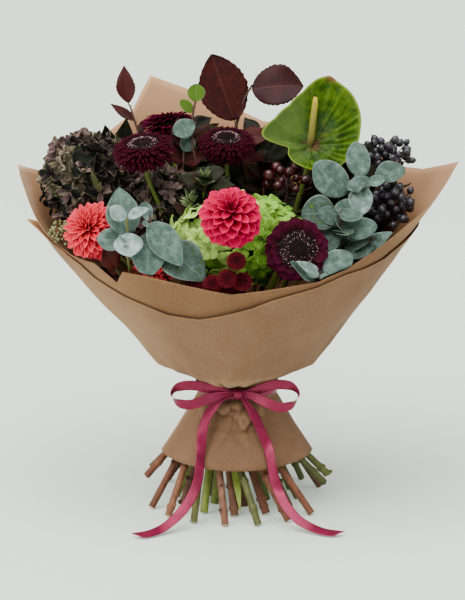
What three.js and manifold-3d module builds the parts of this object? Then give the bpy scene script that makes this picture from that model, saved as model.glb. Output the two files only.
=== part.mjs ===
// A hand-tied bouquet of mixed flowers in two sheets of kraft paper, tied with a satin ribbon.
// It stands unheld on the splayed, cut ends of its own stems, which cross in a spiral at the tie.
// Millimetres, +Z up. While it is built the axis of the spiral is x = y = 0, the surface is z = 0
// and the front, where the bow is, faces -Y. At the end the whole is centred on its own box.

import * as THREE from "three";
import Module from "manifold-3d";
import { ConvexGeometry } from "three/addons/geometries/ConvexGeometry.js";
import { mergeVertices } from "three/addons/utils/BufferGeometryUtils.js";

const wasm = await Module();
wasm.setup();

// The spiral of stems
const TIE_HEIGHT = 127;
const STEM_PITCH = 9.6;
const STEMS_IN_RINGS = [1, 6, 12, 18];
const SPIRAL = 0.026;
const STEM_GAP = 0.4;
const STEM_SIDES = 5;
const SPREAD_START = 150;
const SPREAD_END = 290;
const FAN_ORIGIN = 100;
const FAN_REFERENCE = 350;
const SHORT_FOOT_RADIUS = 99;
const SHORT_FOOT_SPAN = 17;
const SHORT_BEND_HEIGHT = 100;
const SHORT_CUT_HEIGHT = 24;
const LEVEL_STEP = 9;
const EASE_ROUNDS = 90;
const PATH_TOLERANCE = 0.9;
const SIMPLER_BY = 0.12;
const CLEARANCE = 0.35;

// The paper: half widths of the wrap at each height, to the right, to the left and to front or back
const PAPER_THICKNESS = 0.8;
const SHEET_SPACING = 2.0;
const PAPER_COLUMNS = 36;
const PAPER_HEIGHTS = [54, 80, 104, 118, 136, 140, 145, 150, 174, 227, 254, 280, 306, 326, 364, 440];
const PAPER_RIGHT = [78, 61, 46, 38.6, 38.6, 47, 64, 79, 97, 134, 153, 171, 189, 204, 227, 255];
const PAPER_LEFT = [78, 61, 46, 38.6, 38.6, 48, 66, 82, 102, 146, 168, 189, 206, 214, 228, 255];
const PAPER_DEPTH = [78, 61, 46, 38.6, 38.6, 47, 64, 79, 97, 125, 138, 150, 160, 167, 180, 196];
const PLEAT_HEIGHTS = [54, 80, 118, 136, 145, 174, 205];
const PLEAT_DEPTHS = [0.3, 0.7, 1.2, 1.2, 1.8, 0.8, 0];

// Rim heights of the sheets by angle: 0 is the right side, -90 the front and 90 the back
const INNER_RIM = [
  [-180, 362], [-176, 335], [-170, 304], [-160, 288], [-150, 279], [-140, 275], [-135, 256], [-129, 270],
  [-120, 268], [-110, 262], [-100, 256], [-92, 252], [-81, 255], [-70, 259], [-60, 262], [-50, 273],
  [-39, 289], [-29, 306], [-20, 318], [-12, 330], [-6, 345], [0, 364], [14, 354], [24, 346], [33, 345],
  [60, 368], [83, 385], [102, 419], [112.5, 436], [120, 394], [135, 362], [159, 345], [180, 362],
];
const OUTER_RIM = [
  [-180, 306], [-170, 299], [-154, 283], [-148, 272], [-145, 258], [-136, 243], [-118, 228], [-105, 226],
  [-97, 230], [-85, 238], [-77, 246], [-68, 252], [-60, 257], [-50, 268], [-42, 271], [-30, 277],
  [-18, 290], [-8, 300], [0, 303], [20, 285], [50, 262], [90, 250], [130, 262], [160, 284], [180, 306],
];
const OUTER_CORNER_FLARE = 11;
const OUTER_CORNER_WIDTH = 9;
const OUTER_CORNER_HEIGHT = 284;
const PEAK_ANGLE = 112.5;

// The ribbon
const RIBBON_WIDTH = 10;
const RIBBON_THICKNESS = 0.8;
const BAND_RADIUS = 43.4;
const BAND_HEIGHT = 127;
const BAND_SIDES = 20;
const LEFT_LOOP = [
  [-3, -50, 129], [-18, -55, 134], [-32, -59, 138], [-48, -62, 141], [-61, -63, 139], [-67, -65, 132],
  [-61, -68, 125], [-49, -69, 122.5], [-33, -64, 126], [-18, -56, 129], [-3, -50, 129],
];
const RIGHT_LOOP = [
  [5, -50, 129], [19, -55, 134], [33, -60, 140], [44, -62, 142], [56, -63, 140], [63, -65, 132],
  [57, -68, 123], [44, -69, 119.5], [29, -64, 124], [16, -56, 128], [5, -50, 129],
];
const LEFT_TAIL = [
  [-8, -50, 128], [-17, -53, 124], [-25, -56, 116], [-32, -59, 105], [-36, -62, 91], [-37, -66, 76],
  [-38, -75, 63], [-39, -81, 52], [-41, -85, 43], [-46, -92, 32], [-54, -102, 22], [-64, -111, 13.5],
  [-76, -119, 6.5], [-89, -128, 4.2], [-101, -133, 4],
];
const RIGHT_TAIL = [
  [6, -50, 125], [13, -54, 115], [20, -58, 103], [26, -62, 90], [32, -67, 76], [35, -76, 62],
  [38, -82, 48], [43, -88, 35], [50, -99, 24], [61, -109, 13.5], [74, -115, 7], [88, -123, 4.4],
  [103, -128, 4.2],
];

// Colours and finishes
const KRAFT = { color: 0xb4895f, roughness: 0.85 };
const SATIN = { color: 0x9c2f5a, roughness: 0.35 };
const TWINE = { color: 0x9a7b4f, roughness: 0.9 };
const BURGUNDY = { color: 0x4d0f27, roughness: 0.6 };
const HOT_PINK = { color: 0xe0355f, roughness: 0.55 };
const CORAL = { color: 0xf0525a, roughness: 0.55 };
const ANTIQUE = { color: 0x3d3230, roughness: 0.7 };
const LIME = { color: 0xa9c96a, roughness: 0.6 };
const ANTHURIUM_GREEN = { color: 0x5f8f2c, roughness: 0.3 };
const SPADIX_YELLOW = { color: 0xb6a23a, roughness: 0.6 };
const FRESH_STEM = { color: 0x86a04a, roughness: 0.5 };
const DARK_STEM = { color: 0x4c5a33, roughness: 0.6 };
const BROWN_STEM = { color: 0x7a4f3c, roughness: 0.75 };
const EUCALYPTUS = { color: 0x8ba7a3, roughness: 0.65 };
const BEECH = { color: 0x4a1a1a, roughness: 0.5 };
const BLACK_BERRY = { color: 0x23202b, roughness: 0.35 };
const RED_BERRY = { color: 0x4a1620, roughness: 0.25 };
const SEDUM = { color: 0x7d9a62, roughness: 0.6 };
const CREAM = { color: 0xc3c894, roughness: 0.6 };
const GREENERY = { color: 0x2f3b2a, roughness: 0.55 };

// Single blooms: centre, the way they face, size and the stem's radius at the bloom
const GERBERAS = [
  { node: "gerbera_left", at: [-95, -48, 387], faces: [-0.12, -0.3, 1], radius: 35, stem: 2.4 },
  { node: "gerbera_middle", at: [-11, 8, 386], faces: [0, -0.36, 1], radius: 33.5, stem: 2.4 },
  { node: "gerbera_front", at: [59, -112, 292], faces: [0.1, -0.92, 0.36], radius: 33, stem: 2.4 },
  { node: "gerbera_back", at: [-73, 58, 398], faces: [-0.1, 0.15, 1], radius: 32, stem: 2.4 },
];
const DAHLIAS = [
  {
    node: "dahlia_pink", at: [-6, -120, 324], faces: [0, -0.85, 0.5],
    radius: 32, look: HOT_PINK, stem: 3,
  },
  {
    node: "dahlia_coral", at: [-144, -76, 304], faces: [-0.35, -0.85, 0.4],
    radius: 30, look: CORAL, stem: 3,
  },
  {
    node: "dahlia_low", at: [-86, -72, 259], faces: [-0.2, -0.85, 0.5],
    radius: 23, look: CORAL, stem: 3,
  },
];
const HYDRANGEAS = [
  {
    node: "hydrangea_dark_left", at: [-153, 8, 341], faces: [-0.35, -0.25, 1], size: [45, 44, 50],
    florets: 22, floret: 13.5, look: ANTIQUE, stem: 3.4,
  },
  {
    node: "hydrangea_dark_middle", at: [-79, -2, 320], faces: [0, -0.6, 0.8], size: [37, 36, 36],
    florets: 16, floret: 12, look: ANTIQUE, stem: 3.4,
  },
  {
    node: "hydrangea_green", at: [6, -50, 287], faces: [0.05, -0.55, 0.85], size: [62, 42, 44],
    florets: 23, floret: 14, look: LIME, stem: 3.4,
  },
];
const ANTHURIUM = { at: [76, 18, 379], faces: [-0.12, -0.86, 0.5], length: 68, stem: 3 };

// Leafy twigs: the way the twig runs above the bunch, then each leaf's root, tip and width
const EUCALYPTUS_TWIGS = [
  {
    node: "eucalyptus_left_outer",
    path: [[-106, -100, 262], [-108, -113, 287], [-107, -121, 311], [-108, -124, 325]],
    leaves: [
      { root: [-108, -124, 324], tip: [-122, -131, 336], width: 17 },
      { root: [-108, -124, 325], tip: [-87, -128, 335], width: 11 },
      { root: [-107, -121, 311], tip: [-105, -133, 290], width: 28 },
      { root: [-107, -120, 308], tip: [-115, -107, 349], width: 38 },
      { root: [-107, -117, 300], tip: [-135, -121, 304], width: 23 },
    ],
  },
  {
    node: "eucalyptus_left_inner",
    path: [[-71, -96, 262], [-78, -106, 291], [-84, -109, 313], [-86, -108, 326]],
    leaves: [
      { root: [-84, -109, 313], tip: [-89, -130, 277], width: 25 },
      { root: [-85, -109, 321], tip: [-50, -130, 289], width: 31 },
      { root: [-78, -106, 293], tip: [-33, -128, 268], width: 34 },
      { root: [-86, -108, 325], tip: [-95, -103, 343], width: 20 },
    ],
  },
  {
    node: "eucalyptus_right_upper",
    path: [[117, -38, 289], [117, -41, 315], [115, -41, 334], [127, -37, 342], [139, -30, 351]],
    leaves: [
      { root: [114, -41, 334], tip: [79, -50, 369], width: 35 },
      { root: [139, -30, 350], tip: [129, -22, 387], width: 22 },
      { root: [138, -31, 350], tip: [113, -50, 344], width: 18 },
      { root: [138, -31, 350], tip: [172, -22, 361], width: 22 },
      { root: [115, -41, 334], tip: [107, -58, 311], width: 18 },
      { root: [127, -37, 342], tip: [127, -45, 319], width: 18 },
    ],
  },
  {
    node: "eucalyptus_right_lower",
    path: [[109, -64, 271], [106, -70, 288], [104, -72, 303], [103, -70, 323]],
    leaves: [
      { root: [103, -70, 322], tip: [69, -78, 328], width: 30 },
      { root: [104, -72, 305], tip: [137, -84, 309], width: 20 },
      { root: [104, -72, 303], tip: [83, -88, 289], width: 20 },
      { root: [106, -70, 288], tip: [131, -90, 288], width: 17 },
      { root: [108, -66, 278], tip: [157, -82, 303], width: 17 },
    ],
  },
  {
    node: "eucalyptus_front",
    path: [[84, -108, 252], [81, -119, 264], [79, -123, 274]],
    leaves: [
      { root: [80, -121, 269], tip: [51, -143, 286], width: 22 },
      { root: [79, -123, 273], tip: [92, -129, 290], width: 15 },
      { root: [83, -112, 256], tip: [56, -136, 259], width: 18 },
    ],
  },
  {
    node: "eucalyptus_top",
    path: [[-42, 2, 362], [-46, 6, 378], [-47, 12, 397], [-45, 16, 416], [-43, 18, 424]],
    leaves: [
      { root: [-43, 18, 422], tip: [-42, 23, 442], width: 19 },
      { root: [-45, 16, 414], tip: [-57, 14, 424], width: 8 },
      { root: [-46, 14, 406], tip: [-33, 10, 402], width: 9 },
      { root: [-47, 12, 397], tip: [-63, 3, 388], width: 20 },
      { root: [-46, 8, 384], tip: [-30, 13, 393], width: 16 },
    ],
  },
];
const BEECH_TWIGS = [
  {
    node: "beech_top",
    path: [[3, 47, 368], [-1, 50, 395], [7, 53, 422], [16, 53, 438]],
    leaves: [
      { root: [-1, 50, 396], tip: [-27, 50, 469], width: 51 },
      { root: [16, 53, 437], tip: [70, 52, 443], width: 40 },
      { root: [3, 47, 374], tip: [30, 34, 336], width: 30 },
      { root: [1, 48, 384], tip: [37, 40, 388], width: 24 },
    ],
  },
  {
    node: "beech_left",
    path: [[-102, 48, 372], [-104, 49, 388], [-109, 50, 403], [-113, 52, 417]],
    leaves: [
      { root: [-113, 52, 416], tip: [-116, 57, 454], width: 18 },
      { root: [-109, 50, 403], tip: [-133, 52, 419], width: 17 },
      { root: [-104, 49, 390], tip: [-95, 60, 419], width: 18 },
    ],
  },
  {
    node: "beech_middle",
    path: [[-58, 8, 344], [-56, 12, 360], [-55, 14, 374]],
    leaves: [
      { root: [-55, 14, 373], tip: [-61, 22, 408], width: 21 },
      { root: [-56, 12, 361], tip: [-33, -4, 372], width: 18 },
    ],
  },
  {
    node: "beech_low",
    path: [[-112, -82, 246], [-117, -91, 262], [-120, -95, 268]],
    leaves: [
      { root: [-120, -95, 268], tip: [-131, -103, 294], width: 21 },
      { root: [-116, -90, 260], tip: [-96, -113, 268], width: 18 },
    ],
  },
];
const LEAFY_STEMS = [
  { node: "greenery_back_left", at: [-128, 78, 322], seed: 11 },
  { node: "greenery_back_middle", at: [-48, 118, 345], seed: 23 },
  { node: "greenery_back_peak", at: [22, 118, 338], seed: 37 },
  { node: "greenery_back_right", at: [92, 98, 326], seed: 41 },
  { node: "greenery_right", at: [146, 62, 312], seed: 53 },
  { node: "greenery_middle", at: [28, 40, 322], seed: 67 },
  { node: "greenery_front", at: [-30, -40, 318], seed: 79 },
  { node: "greenery_centre", at: [112, 24, 322], seed: 83 },
];

// Berry and bud sprays: where the head of the spray is, how large it is and how many fruits it has
const BERRY_SPRAYS = [
  {
    node: "berries_upper", at: [157, 30, 366], size: [30, 22, 22],
    count: 11, fruit: 4.7, look: BLACK_BERRY, seed: 5,
  },
  {
    node: "berries_lower", at: [160, -12, 318], size: [27, 22, 27],
    count: 11, fruit: 4.7, look: BLACK_BERRY, seed: 9,
  },
  {
    node: "hypericum", at: [52, -2, 346], size: [26, 18, 18],
    count: 8, fruit: 5.4, look: RED_BERRY, seed: 13,
  },
  {
    node: "filler_buds", at: [-178, -52, 297], size: [13, 13, 14],
    count: 7, fruit: 3.8, look: CREAM, seed: 17,
  },
];
const SPIKY_SPRAYS = [
  { node: "spiky_sprig_upper", at: [-33, -42, 352], seed: 19 },
  { node: "spiky_sprig_lower", at: [-47, -50, 330], seed: 29 },
];
const SPIKE_COUNT = 7;
const SPIKE_LENGTH = 12;
const SANTINI_SPRAYS = [
  { node: "santini_upper", branch: [-6, -112, 250], heads: [[-1, -140, 286], [-10, -142, 269]] },
  { node: "santini_lower", branch: [-14, -108, 236], heads: [[-24, -132, 259], [5, -135, 262]] },
];
const SANTINI_RADIUS = 10.5;

const point = (list) => new THREE.Vector3(...list);
const above = (list, rise) => point(list).add(new THREE.Vector3(0, 0, rise));

// Repeatable draws between 0 and 1
function drawer(seed) {
  let state = seed >>> 0;
  return () => {
    state = (Math.imul(state, 1664525) + 1013904223) >>> 0;
    return state / 4294967296;
  };
}

function between(value, stops, values) {
  if (value <= stops[0]) return values[0];
  for (let i = 1; i < stops.length; i++) {
    if (value <= stops[i]) {
      const share = (value - stops[i - 1]) / (stops[i] - stops[i - 1]);
      return values[i - 1] + share * (values[i] - values[i - 1]);
    }
  }
  return values[values.length - 1];
}

function smooth(value, low, high) {
  const share = Math.min(1, Math.max(0, (value - low) / (high - low)));
  return share * share * (3 - 2 * share);
}

// A closed mesh from its points and triangles
function closedGeometry(points, faces) {
  const geometry = new THREE.BufferGeometry().setFromPoints(points);
  geometry.setIndex(faces.flat());
  return geometry;
}

function toSolid(geometry) {
  const bare = geometry.clone();
  bare.deleteAttribute("normal");
  bare.deleteAttribute("uv");
  const merged = mergeVertices(bare, 1e-4);
  const vertProperties = new Float32Array(merged.attributes.position.array);
  const triVerts = new Uint32Array(merged.index.array);
  return new wasm.Manifold(new wasm.Mesh({ numProp: 3, vertProperties, triVerts }));
}

function toGeometry(solid) {
  const mesh = solid.getMesh();
  const geometry = new THREE.BufferGeometry();
  geometry.setAttribute("position", new THREE.BufferAttribute(new Float32Array(mesh.vertProperties), 3));
  geometry.setIndex(new THREE.BufferAttribute(new Uint32Array(mesh.triVerts), 1));
  return geometry;
}

const fuse = (solids) => solids.reduce((sum, solid) => sum.add(solid));

// The one body that holds together: loose scraps are left out, also those that rounding sets loose
function mainBody(solid) {
  const larger = (best, body) => (body.volume() > best.volume() ? body : best);
  const largest = (whole) => whole.decompose().reduce(larger);
  return largest(toSolid(toGeometry(largest(solid.simplify(SIMPLER_BY)))));
}

// Axes with z along a direction, for a bloom that faces that way
function facing(at, direction, turn = 0) {
  const z = point(direction).normalize();
  const hint = Math.abs(z.z) > 0.9 ? new THREE.Vector3(0, 1, 0) : new THREE.Vector3(0, 0, 1);
  const x = hint.clone().cross(z).normalize();
  const y = z.clone().cross(x);
  const basis = new THREE.Matrix4().makeBasis(x, y, z).setPosition(point(at));
  return basis.multiply(new THREE.Matrix4().makeRotationZ(turn));
}

// A round stalk of few sides along a path; a level foot is cut flat by the surface
function stalk(path, radii, sides = STEM_SIDES, levelFoot = false) {
  const points = [];
  const faces = [];
  const last = path.length - 1;
  let side = null;
  path.forEach((centre, i) => {
    const ahead = path[Math.min(i + 1, last)].clone().sub(path[Math.max(i - 1, 0)]).normalize();
    if (!side) side = Math.abs(ahead.x) > 0.9 ? new THREE.Vector3(0, 1, 0) : new THREE.Vector3(1, 0, 0);
    side = side.clone().addScaledVector(ahead, -side.dot(ahead)).normalize();
    const up = ahead.clone().cross(side);
    for (let k = 0; k < sides; k++) {
      const angle = (2 * Math.PI * k) / sides;
      const offset = side.clone().multiplyScalar(Math.cos(angle)).addScaledVector(up, Math.sin(angle));
      offset.multiplyScalar(radii[i]);
      if (levelFoot && i === 0) offset.addScaledVector(ahead, -offset.z / ahead.z);
      points.push(centre.clone().add(offset));
    }
  });
  for (let i = 0; i < last; i++) {
    for (let k = 0; k < sides; k++) {
      const next = (k + 1) % sides;
      const [a, b] = [i * sides + k, i * sides + next];
      faces.push([a, b, b + sides], [a, b + sides, a + sides]);
    }
  }
  for (let k = 1; k < sides - 1; k++) {
    faces.push([0, k + 1, k], [last * sides, last * sides + k, last * sides + k + 1]);
  }
  return closedGeometry(points, faces);
}

// A body of rings round z, closed by a point at its top and one at its bottom
function ringed(top, rings, bottom) {
  const columns = rings[0].length;
  const points = [top, ...rings.flat(), bottom];
  const end = points.length - 1;
  const faces = [];
  for (let k = 0; k < columns; k++) {
    const next = (k + 1) % columns;
    faces.push([0, 1 + k, 1 + next]);
    for (let i = 0; i < rings.length - 1; i++) {
      const inner = 1 + i * columns;
      const outer = inner + columns;
      faces.push([inner + k, outer + k, outer + next], [inner + k, outer + next, inner + next]);
    }
    const lowest = 1 + (rings.length - 1) * columns;
    faces.push([end, lowest + next, lowest + k]);
  }
  return closedGeometry(points, faces);
}

// One leaf of even thickness, arched along its length; with a rib it is also folded and its edge may wave
function leaf(blade, swell = 0) {
  const { root, tip, width, shape, ribbed = true, arch = 0.1, wave = 0, look = [0, -0.85, 0.5] } = blade;
  const start = point(root);
  const along = point(tip).sub(start);
  const length = along.length();
  along.normalize();
  const normal = point(look);
  normal.addScaledVector(along, -normal.dot(along)).normalize();
  const right = along.clone().cross(normal);
  const half = 0.35 + swell;
  const ends = [-swell / length, 1 + swell / length];
  const wide = ribbed ? [-1, 0, 1] : [-1, 1];
  const across = wide.length;
  const layers = [half, -half].map((shift) => {
    const spot = (share, aside, lift) => start.clone().addScaledVector(along, length * share)
      .addScaledVector(right, aside).addScaledVector(normal, lift + shift - arch * length * share * share);
    const rows = shape.map(([share, spread], i) => wide.map((side) => {
      const reach = (spread * width) / 2 + swell;
      const lift = ribbed && side ? 0.12 * reach + (i % 2 ? wave : -wave) : 0;
      return spot(share, side * reach, lift);
    }));
    return [spot(ends[0], 0, 0), ...rows.flat(), spot(ends[1], 0, 0)];
  });
  const end = across * shape.length + 1;
  const count = end + 1;
  const panels = [];
  for (let k = 0; k < across - 1; k++) {
    panels.push([0, k + 2, k + 1], [end - across + k, end - across + k + 1, end]);
    for (let i = 0; i < shape.length - 1; i++) {
      const a = across * i + k + 1;
      panels.push([a, a + 1, a + 1 + across], [a, a + 1 + across, a + across]);
    }
  }
  const faces = [...panels, ...panels.map(([a, b, c]) => [a + count, c + count, b + count])];
  const rights = shape.map((_, i) => across * (i + 1));
  const lefts = shape.map((_, i) => across * i + 1).reverse();
  const rim = [0, ...rights, end, ...lefts];
  rim.forEach((a, i) => {
    const b = rim[(i + 1) % rim.length];
    faces.push([a, a + count, b + count], [a, b + count, b]);
  });
  return closedGeometry(layers.flat(), faces);
}
const ROUND_LEAF = [[0.16, 0.62], [0.5, 1], [0.84, 0.62]];
const BEECH_LEAF = [[0.12, 0.56], [0.36, 0.98], [0.6, 0.9], [0.82, 0.54]];
const POINTED_LEAF = [[0.25, 0.85], [0.6, 0.85]];

// A strip with a flat section, along a path, with its face turned to the given side
function strip(path, sides, width, thickness) {
  const points = [];
  const faces = [];
  const last = path.length - 1;
  path.forEach((centre, i) => {
    const ahead = path[Math.min(i + 1, last)].clone().sub(path[Math.max(i - 1, 0)]).normalize();
    const face = sides[i].clone().addScaledVector(ahead, -sides[i].dot(ahead)).normalize();
    const across = ahead.clone().cross(face);
    for (const [a, f] of [[-1, -1], [1, -1], [1, 1], [-1, 1]]) {
      const corner = centre.clone().addScaledVector(across, (a * width[i]) / 2);
      points.push(corner.addScaledVector(face, (f * thickness) / 2));
    }
  });
  for (let i = 0; i < last; i++) {
    for (let k = 0; k < 4; k++) {
      const [a, b] = [4 * i + k, 4 * i + ((k + 1) % 4)];
      faces.push([a, a + 4, b + 4], [a, b + 4, b]);
    }
  }
  const end = 4 * last;
  faces.push([0, 1, 2], [0, 2, 3], [end, end + 2, end + 1], [end, end + 3, end + 2]);
  return closedGeometry(points, faces);
}

// Paper

function rimHeight(rim, degrees) {
  return between(degrees, rim.map((stop) => stop[0]), rim.map((stop) => stop[1]));
}

// The wrap's own surface before thickness, at an angle in degrees and a height
function wrapPoint(degrees, height, pleat) {
  const angle = (degrees * Math.PI) / 180;
  const rightward = smooth(Math.cos(angle), -1, 1);
  const right = between(height, PAPER_HEIGHTS, PAPER_RIGHT);
  const left = between(height, PAPER_HEIGHTS, PAPER_LEFT);
  const depth = between(height, PAPER_HEIGHTS, PAPER_DEPTH);
  const fold = pleat * between(height, PLEAT_HEIGHTS, PLEAT_DEPTHS);
  const wide = left + rightward * (right - left) + fold;
  return new THREE.Vector3(wide * Math.cos(angle), (depth + fold) * Math.sin(angle), height);
}

function wrapNormal(degrees, height) {
  const turn = wrapPoint(degrees + 1, height, 0).sub(wrapPoint(degrees - 1, height, 0));
  const climb = wrapPoint(degrees, height + 3, 0).sub(wrapPoint(degrees, height - 3, 0));
  return turn.cross(climb).normalize();
}

// One sheet as a closed band between two distances from the wrap's surface
function sheet({ rim, rows, near, far, flare = 0, rise = 0 }) {
  const angles = Array.from({ length: PAPER_COLUMNS }, (_, j) => -180 + (360 * j) / PAPER_COLUMNS);
  angles[Math.round((PEAK_ANGLE + 180) / (360 / PAPER_COLUMNS))] = PEAK_ANGLE;
  const layers = [far, near].map((distance) => angles.map((degrees, j) => {
    const top = rimHeight(rim, degrees) + rise;
    const list = [...rows.low, ...rows.shares.map((share) => rows.from + share * (top - rows.from))];
    return list.map((height) => {
      const place = wrapPoint(degrees, height, j % 2 ? 1 : -1);
      place.addScaledVector(wrapNormal(degrees, height), distance);
      const corner = Math.exp(-(((180 - Math.abs(degrees)) / OUTER_CORNER_WIDTH) ** 2));
      const out = flare * corner * Math.max(0, (height - OUTER_CORNER_HEIGHT) / (306 - OUTER_CORNER_HEIGHT));
      place.x -= out;
      return place;
    });
  }));
  const count = rows.low.length + rows.shares.length;
  const size = PAPER_COLUMNS * count;
  const faces = [];
  for (let j = 0; j < PAPER_COLUMNS; j++) {
    const here = j * count;
    const next = ((j + 1) % PAPER_COLUMNS) * count;
    for (let i = 0; i < count - 1; i++) {
      const [a, b, c, d] = [here + i, next + i, next + i + 1, here + i + 1];
      faces.push([a, b, c], [a, c, d]);
      faces.push([a + size, c + size, b + size], [a + size, d + size, c + size]);
    }
    const top = count - 1;
    faces.push([here + top, next + top, next + top + size]);
    faces.push([here + top, next + top + size, here + top + size]);
    faces.push([here, here + size, next + size], [here, next + size, next]);
  }
  return closedGeometry(layers.flat(2), faces);
}
const INNER_ROWS = { low: [54.6, 104, 118, 136, 152], from: 152, shares: [0.4, 0.75, 1] };
const OUTER_ROWS = { low: [54, 104, 118, 136, 152], from: 152, shares: [0.5, 1] };

function paperSheets() {
  const half = PAPER_THICKNESS / 2;
  const inner = sheet({ rim: INNER_RIM, rows: INNER_ROWS, near: -half, far: half });
  const outer = sheet({
    rim: OUTER_RIM, rows: OUTER_ROWS, near: SHEET_SPACING - half, far: SHEET_SPACING + half,
    flare: OUTER_CORNER_FLARE,
  });
  const room = sheet({
    rim: INNER_RIM, rows: INNER_ROWS, near: -half - CLEARANCE, far: SHEET_SPACING + half + CLEARANCE,
    rise: 0.6,
  });
  return { inner, outer, room };
}

// The spiral

const slots = STEMS_IN_RINGS.flatMap((count, ring) => Array.from({ length: count }, (_, k) => {
  const angle = (2 * Math.PI * (k + 0.5)) / count;
  return { ring, x: ring * STEM_PITCH * Math.cos(angle), y: ring * STEM_PITCH * Math.sin(angle) };
}));

function spiralPoint(slot, height) {
  const run = SPIRAL * (height - TIE_HEIGHT);
  return new THREE.Vector3(slot.x + slot.y * run, slot.y - slot.x * run, height);
}

const waistRadius = (ring) => {
  const lean = Math.atan(ring * STEM_PITCH * SPIRAL);
  return (1.047 * STEM_PITCH * Math.cos(lean) - STEM_GAP) / 2;
};

const fan = (height) => (height - FAN_ORIGIN) / (FAN_REFERENCE - FAN_ORIGIN);

// Each stem takes the slot that keeps it in line with where it is going, so that no two cross
function shareSlots(ends) {
  const turned = slots.map((slot) => spiralPoint(slot, (SPREAD_START + SPREAD_END) / 2));
  const order = ends.map((_, i) => i);
  const match = (stem, slot) => {
    const reach = fan(ends[stem].z);
    return (turned[slot].x * ends[stem].x + turned[slot].y * ends[stem].y) / reach;
  };
  let swapped = true;
  while (swapped) {
    swapped = false;
    for (let i = 0; i < order.length; i++) {
      for (let j = i + 1; j < order.length; j++) {
        const kept = match(i, order[i]) + match(j, order[j]);
        const crossed = match(i, order[j]) + match(j, order[i]);
        if (crossed > kept + 1e-6) {
          [order[i], order[j]] = [order[j], order[i]];
          swapped = true;
        }
      }
    }
  }
  return order.map((index) => slots[index]);
}

// From the tie to the point where the stem's own growth starts, at even steps of height
function stemLevels(slot, end) {
  const share = smooth(end.z, SPREAD_START, SPREAD_END);
  const twisted = spiralPoint(slot, end.z);
  const reach = share * fan(end.z);
  const aimX = (end.x - (1 - share) * twisted.x) / reach;
  const aimY = (end.y - (1 - share) * twisted.y) / reach;
  const levels = [];
  for (let height = SPREAD_START; height < end.z - LEVEL_STEP / 2; height += LEVEL_STEP) {
    const blend = smooth(height, SPREAD_START, SPREAD_END);
    const low = spiralPoint(slot, height);
    const high = blend * fan(height);
    const x = (1 - blend) * low.x + high * aimX;
    const y = (1 - blend) * low.y + high * aimY;
    levels.push(new THREE.Vector3(x, y, height));
  }
  return levels;
}

// The foot: level with the surface, or cut short and bent outward where it leaves at the side
function footPath(slot) {
  const foot = spiralPoint(slot, 0);
  const footAngle = (Math.atan2(foot.y, foot.x) * 180) / Math.PI;
  const fromSide = Math.min(Math.abs(footAngle), 180 - Math.abs(footAngle));
  if (slot.ring < STEMS_IN_RINGS.length - 1 || fromSide > SHORT_FOOT_SPAN) return [foot];
  const outward = SHORT_FOOT_RADIUS / Math.hypot(foot.x, foot.y);
  return [
    new THREE.Vector3(foot.x * outward, foot.y * outward, SHORT_CUT_HEIGHT),
    spiralPoint(slot, SHORT_BEND_HEIGHT),
  ];
}

// A path with only the points it needs to stay within a tolerance
function thinned(path, tolerance) {
  const first = path[0];
  const last = path[path.length - 1];
  const line = new THREE.Line3(first, last);
  const nearest = new THREE.Vector3();
  let far = 0;
  let index = 0;
  for (let i = 1; i < path.length - 1; i++) {
    const gap = line.closestPointToPoint(path[i], true, nearest).distanceTo(path[i]);
    if (gap > far) [far, index] = [gap, i];
  }
  if (far < tolerance) return [first, last];
  const below = thinned(path.slice(0, index + 1), tolerance).slice(0, -1);
  return [...below, ...thinned(path.slice(index), tolerance)];
}

// Where a path stands at a height, or nothing past its ends
function atHeight(path, height) {
  for (let i = 1; i < path.length; i++) {
    if (path[i - 1].z <= height && height <= path[i].z) {
      const share = (height - path[i - 1].z) / Math.max(1e-6, path[i].z - path[i - 1].z);
      return path[i - 1].clone().lerp(path[i], share);
    }
  }
  return null;
}

// Stems give way to one another, to blooms and bunches and to the paper, level by level
function easeStems(growths) {
  const count = Math.max(...growths.map((one) => one.levels.length));
  const tall = (one, i) => one.levels[i] ?? atHeight(one.growth, SPREAD_START + i * LEVEL_STEP);
  const thick = (one, i) => {
    const share = smooth(SPREAD_START + i * LEVEL_STEP, SPREAD_START, SPREAD_START + 110);
    return waistRadius(one.slot.ring) * (1 - share) + one.tipRadius * share;
  };
  for (let round = 0; round < EASE_ROUNDS; round++) {
    for (let i = 1; i < count; i++) {
      for (const [a, one] of growths.entries()) {
        const here = one.levels[i];
        if (!here) continue;
        const before = one.levels[i - 1];
        const after = one.levels[i + 1] ?? one.growth[0];
        here.x += 0.12 * (before.x + after.x - 2 * here.x);
        here.y += 0.12 * (before.y + after.y - 2 * here.y);
        for (const [b, other] of growths.entries()) {
          const there = a === b ? null : tall(other, i);
          if (!there) continue;
          const [dx, dy] = [here.x - there.x, here.y - there.y];
          const apart = Math.hypot(dx, dy);
          const need = (thick(one, i) + thick(other, i)) * 1.12 + 1.3;
          if (apart >= need) continue;
          const push = ((need - apart) / Math.max(apart, 0.1)) * (other.levels[i] ? 0.5 : 1);
          here.x += dx * push;
          here.y += dy * push;
          if (other.levels[i]) {
            there.x -= dx * push;
            there.y -= dy * push;
          }
        }
        for (const bulk of bulks) {
          if (bulk.owner !== one.node) pushOut(here, bulk, thick(one, i) + 1.5);
        }
        keepInside(here, thick(one, i) + 2);
      }
    }
  }
}

function pushOut(here, { centre, axis, across, along }, margin) {
  const offset = here.clone().sub(centre);
  const rise = offset.dot(axis);
  const flat = offset.clone().addScaledVector(axis, -rise);
  const [wide, deep] = [across + margin, along + margin];
  if ((flat.length() / wide) ** 2 + (rise / deep) ** 2 >= 1) return;
  const away = flat.multiplyScalar(1 / wide ** 2).addScaledVector(axis, rise / deep ** 2);
  away.z = 0;
  if (away.length() > 1e-9) here.addScaledVector(away.normalize(), 1.2);
}

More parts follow.
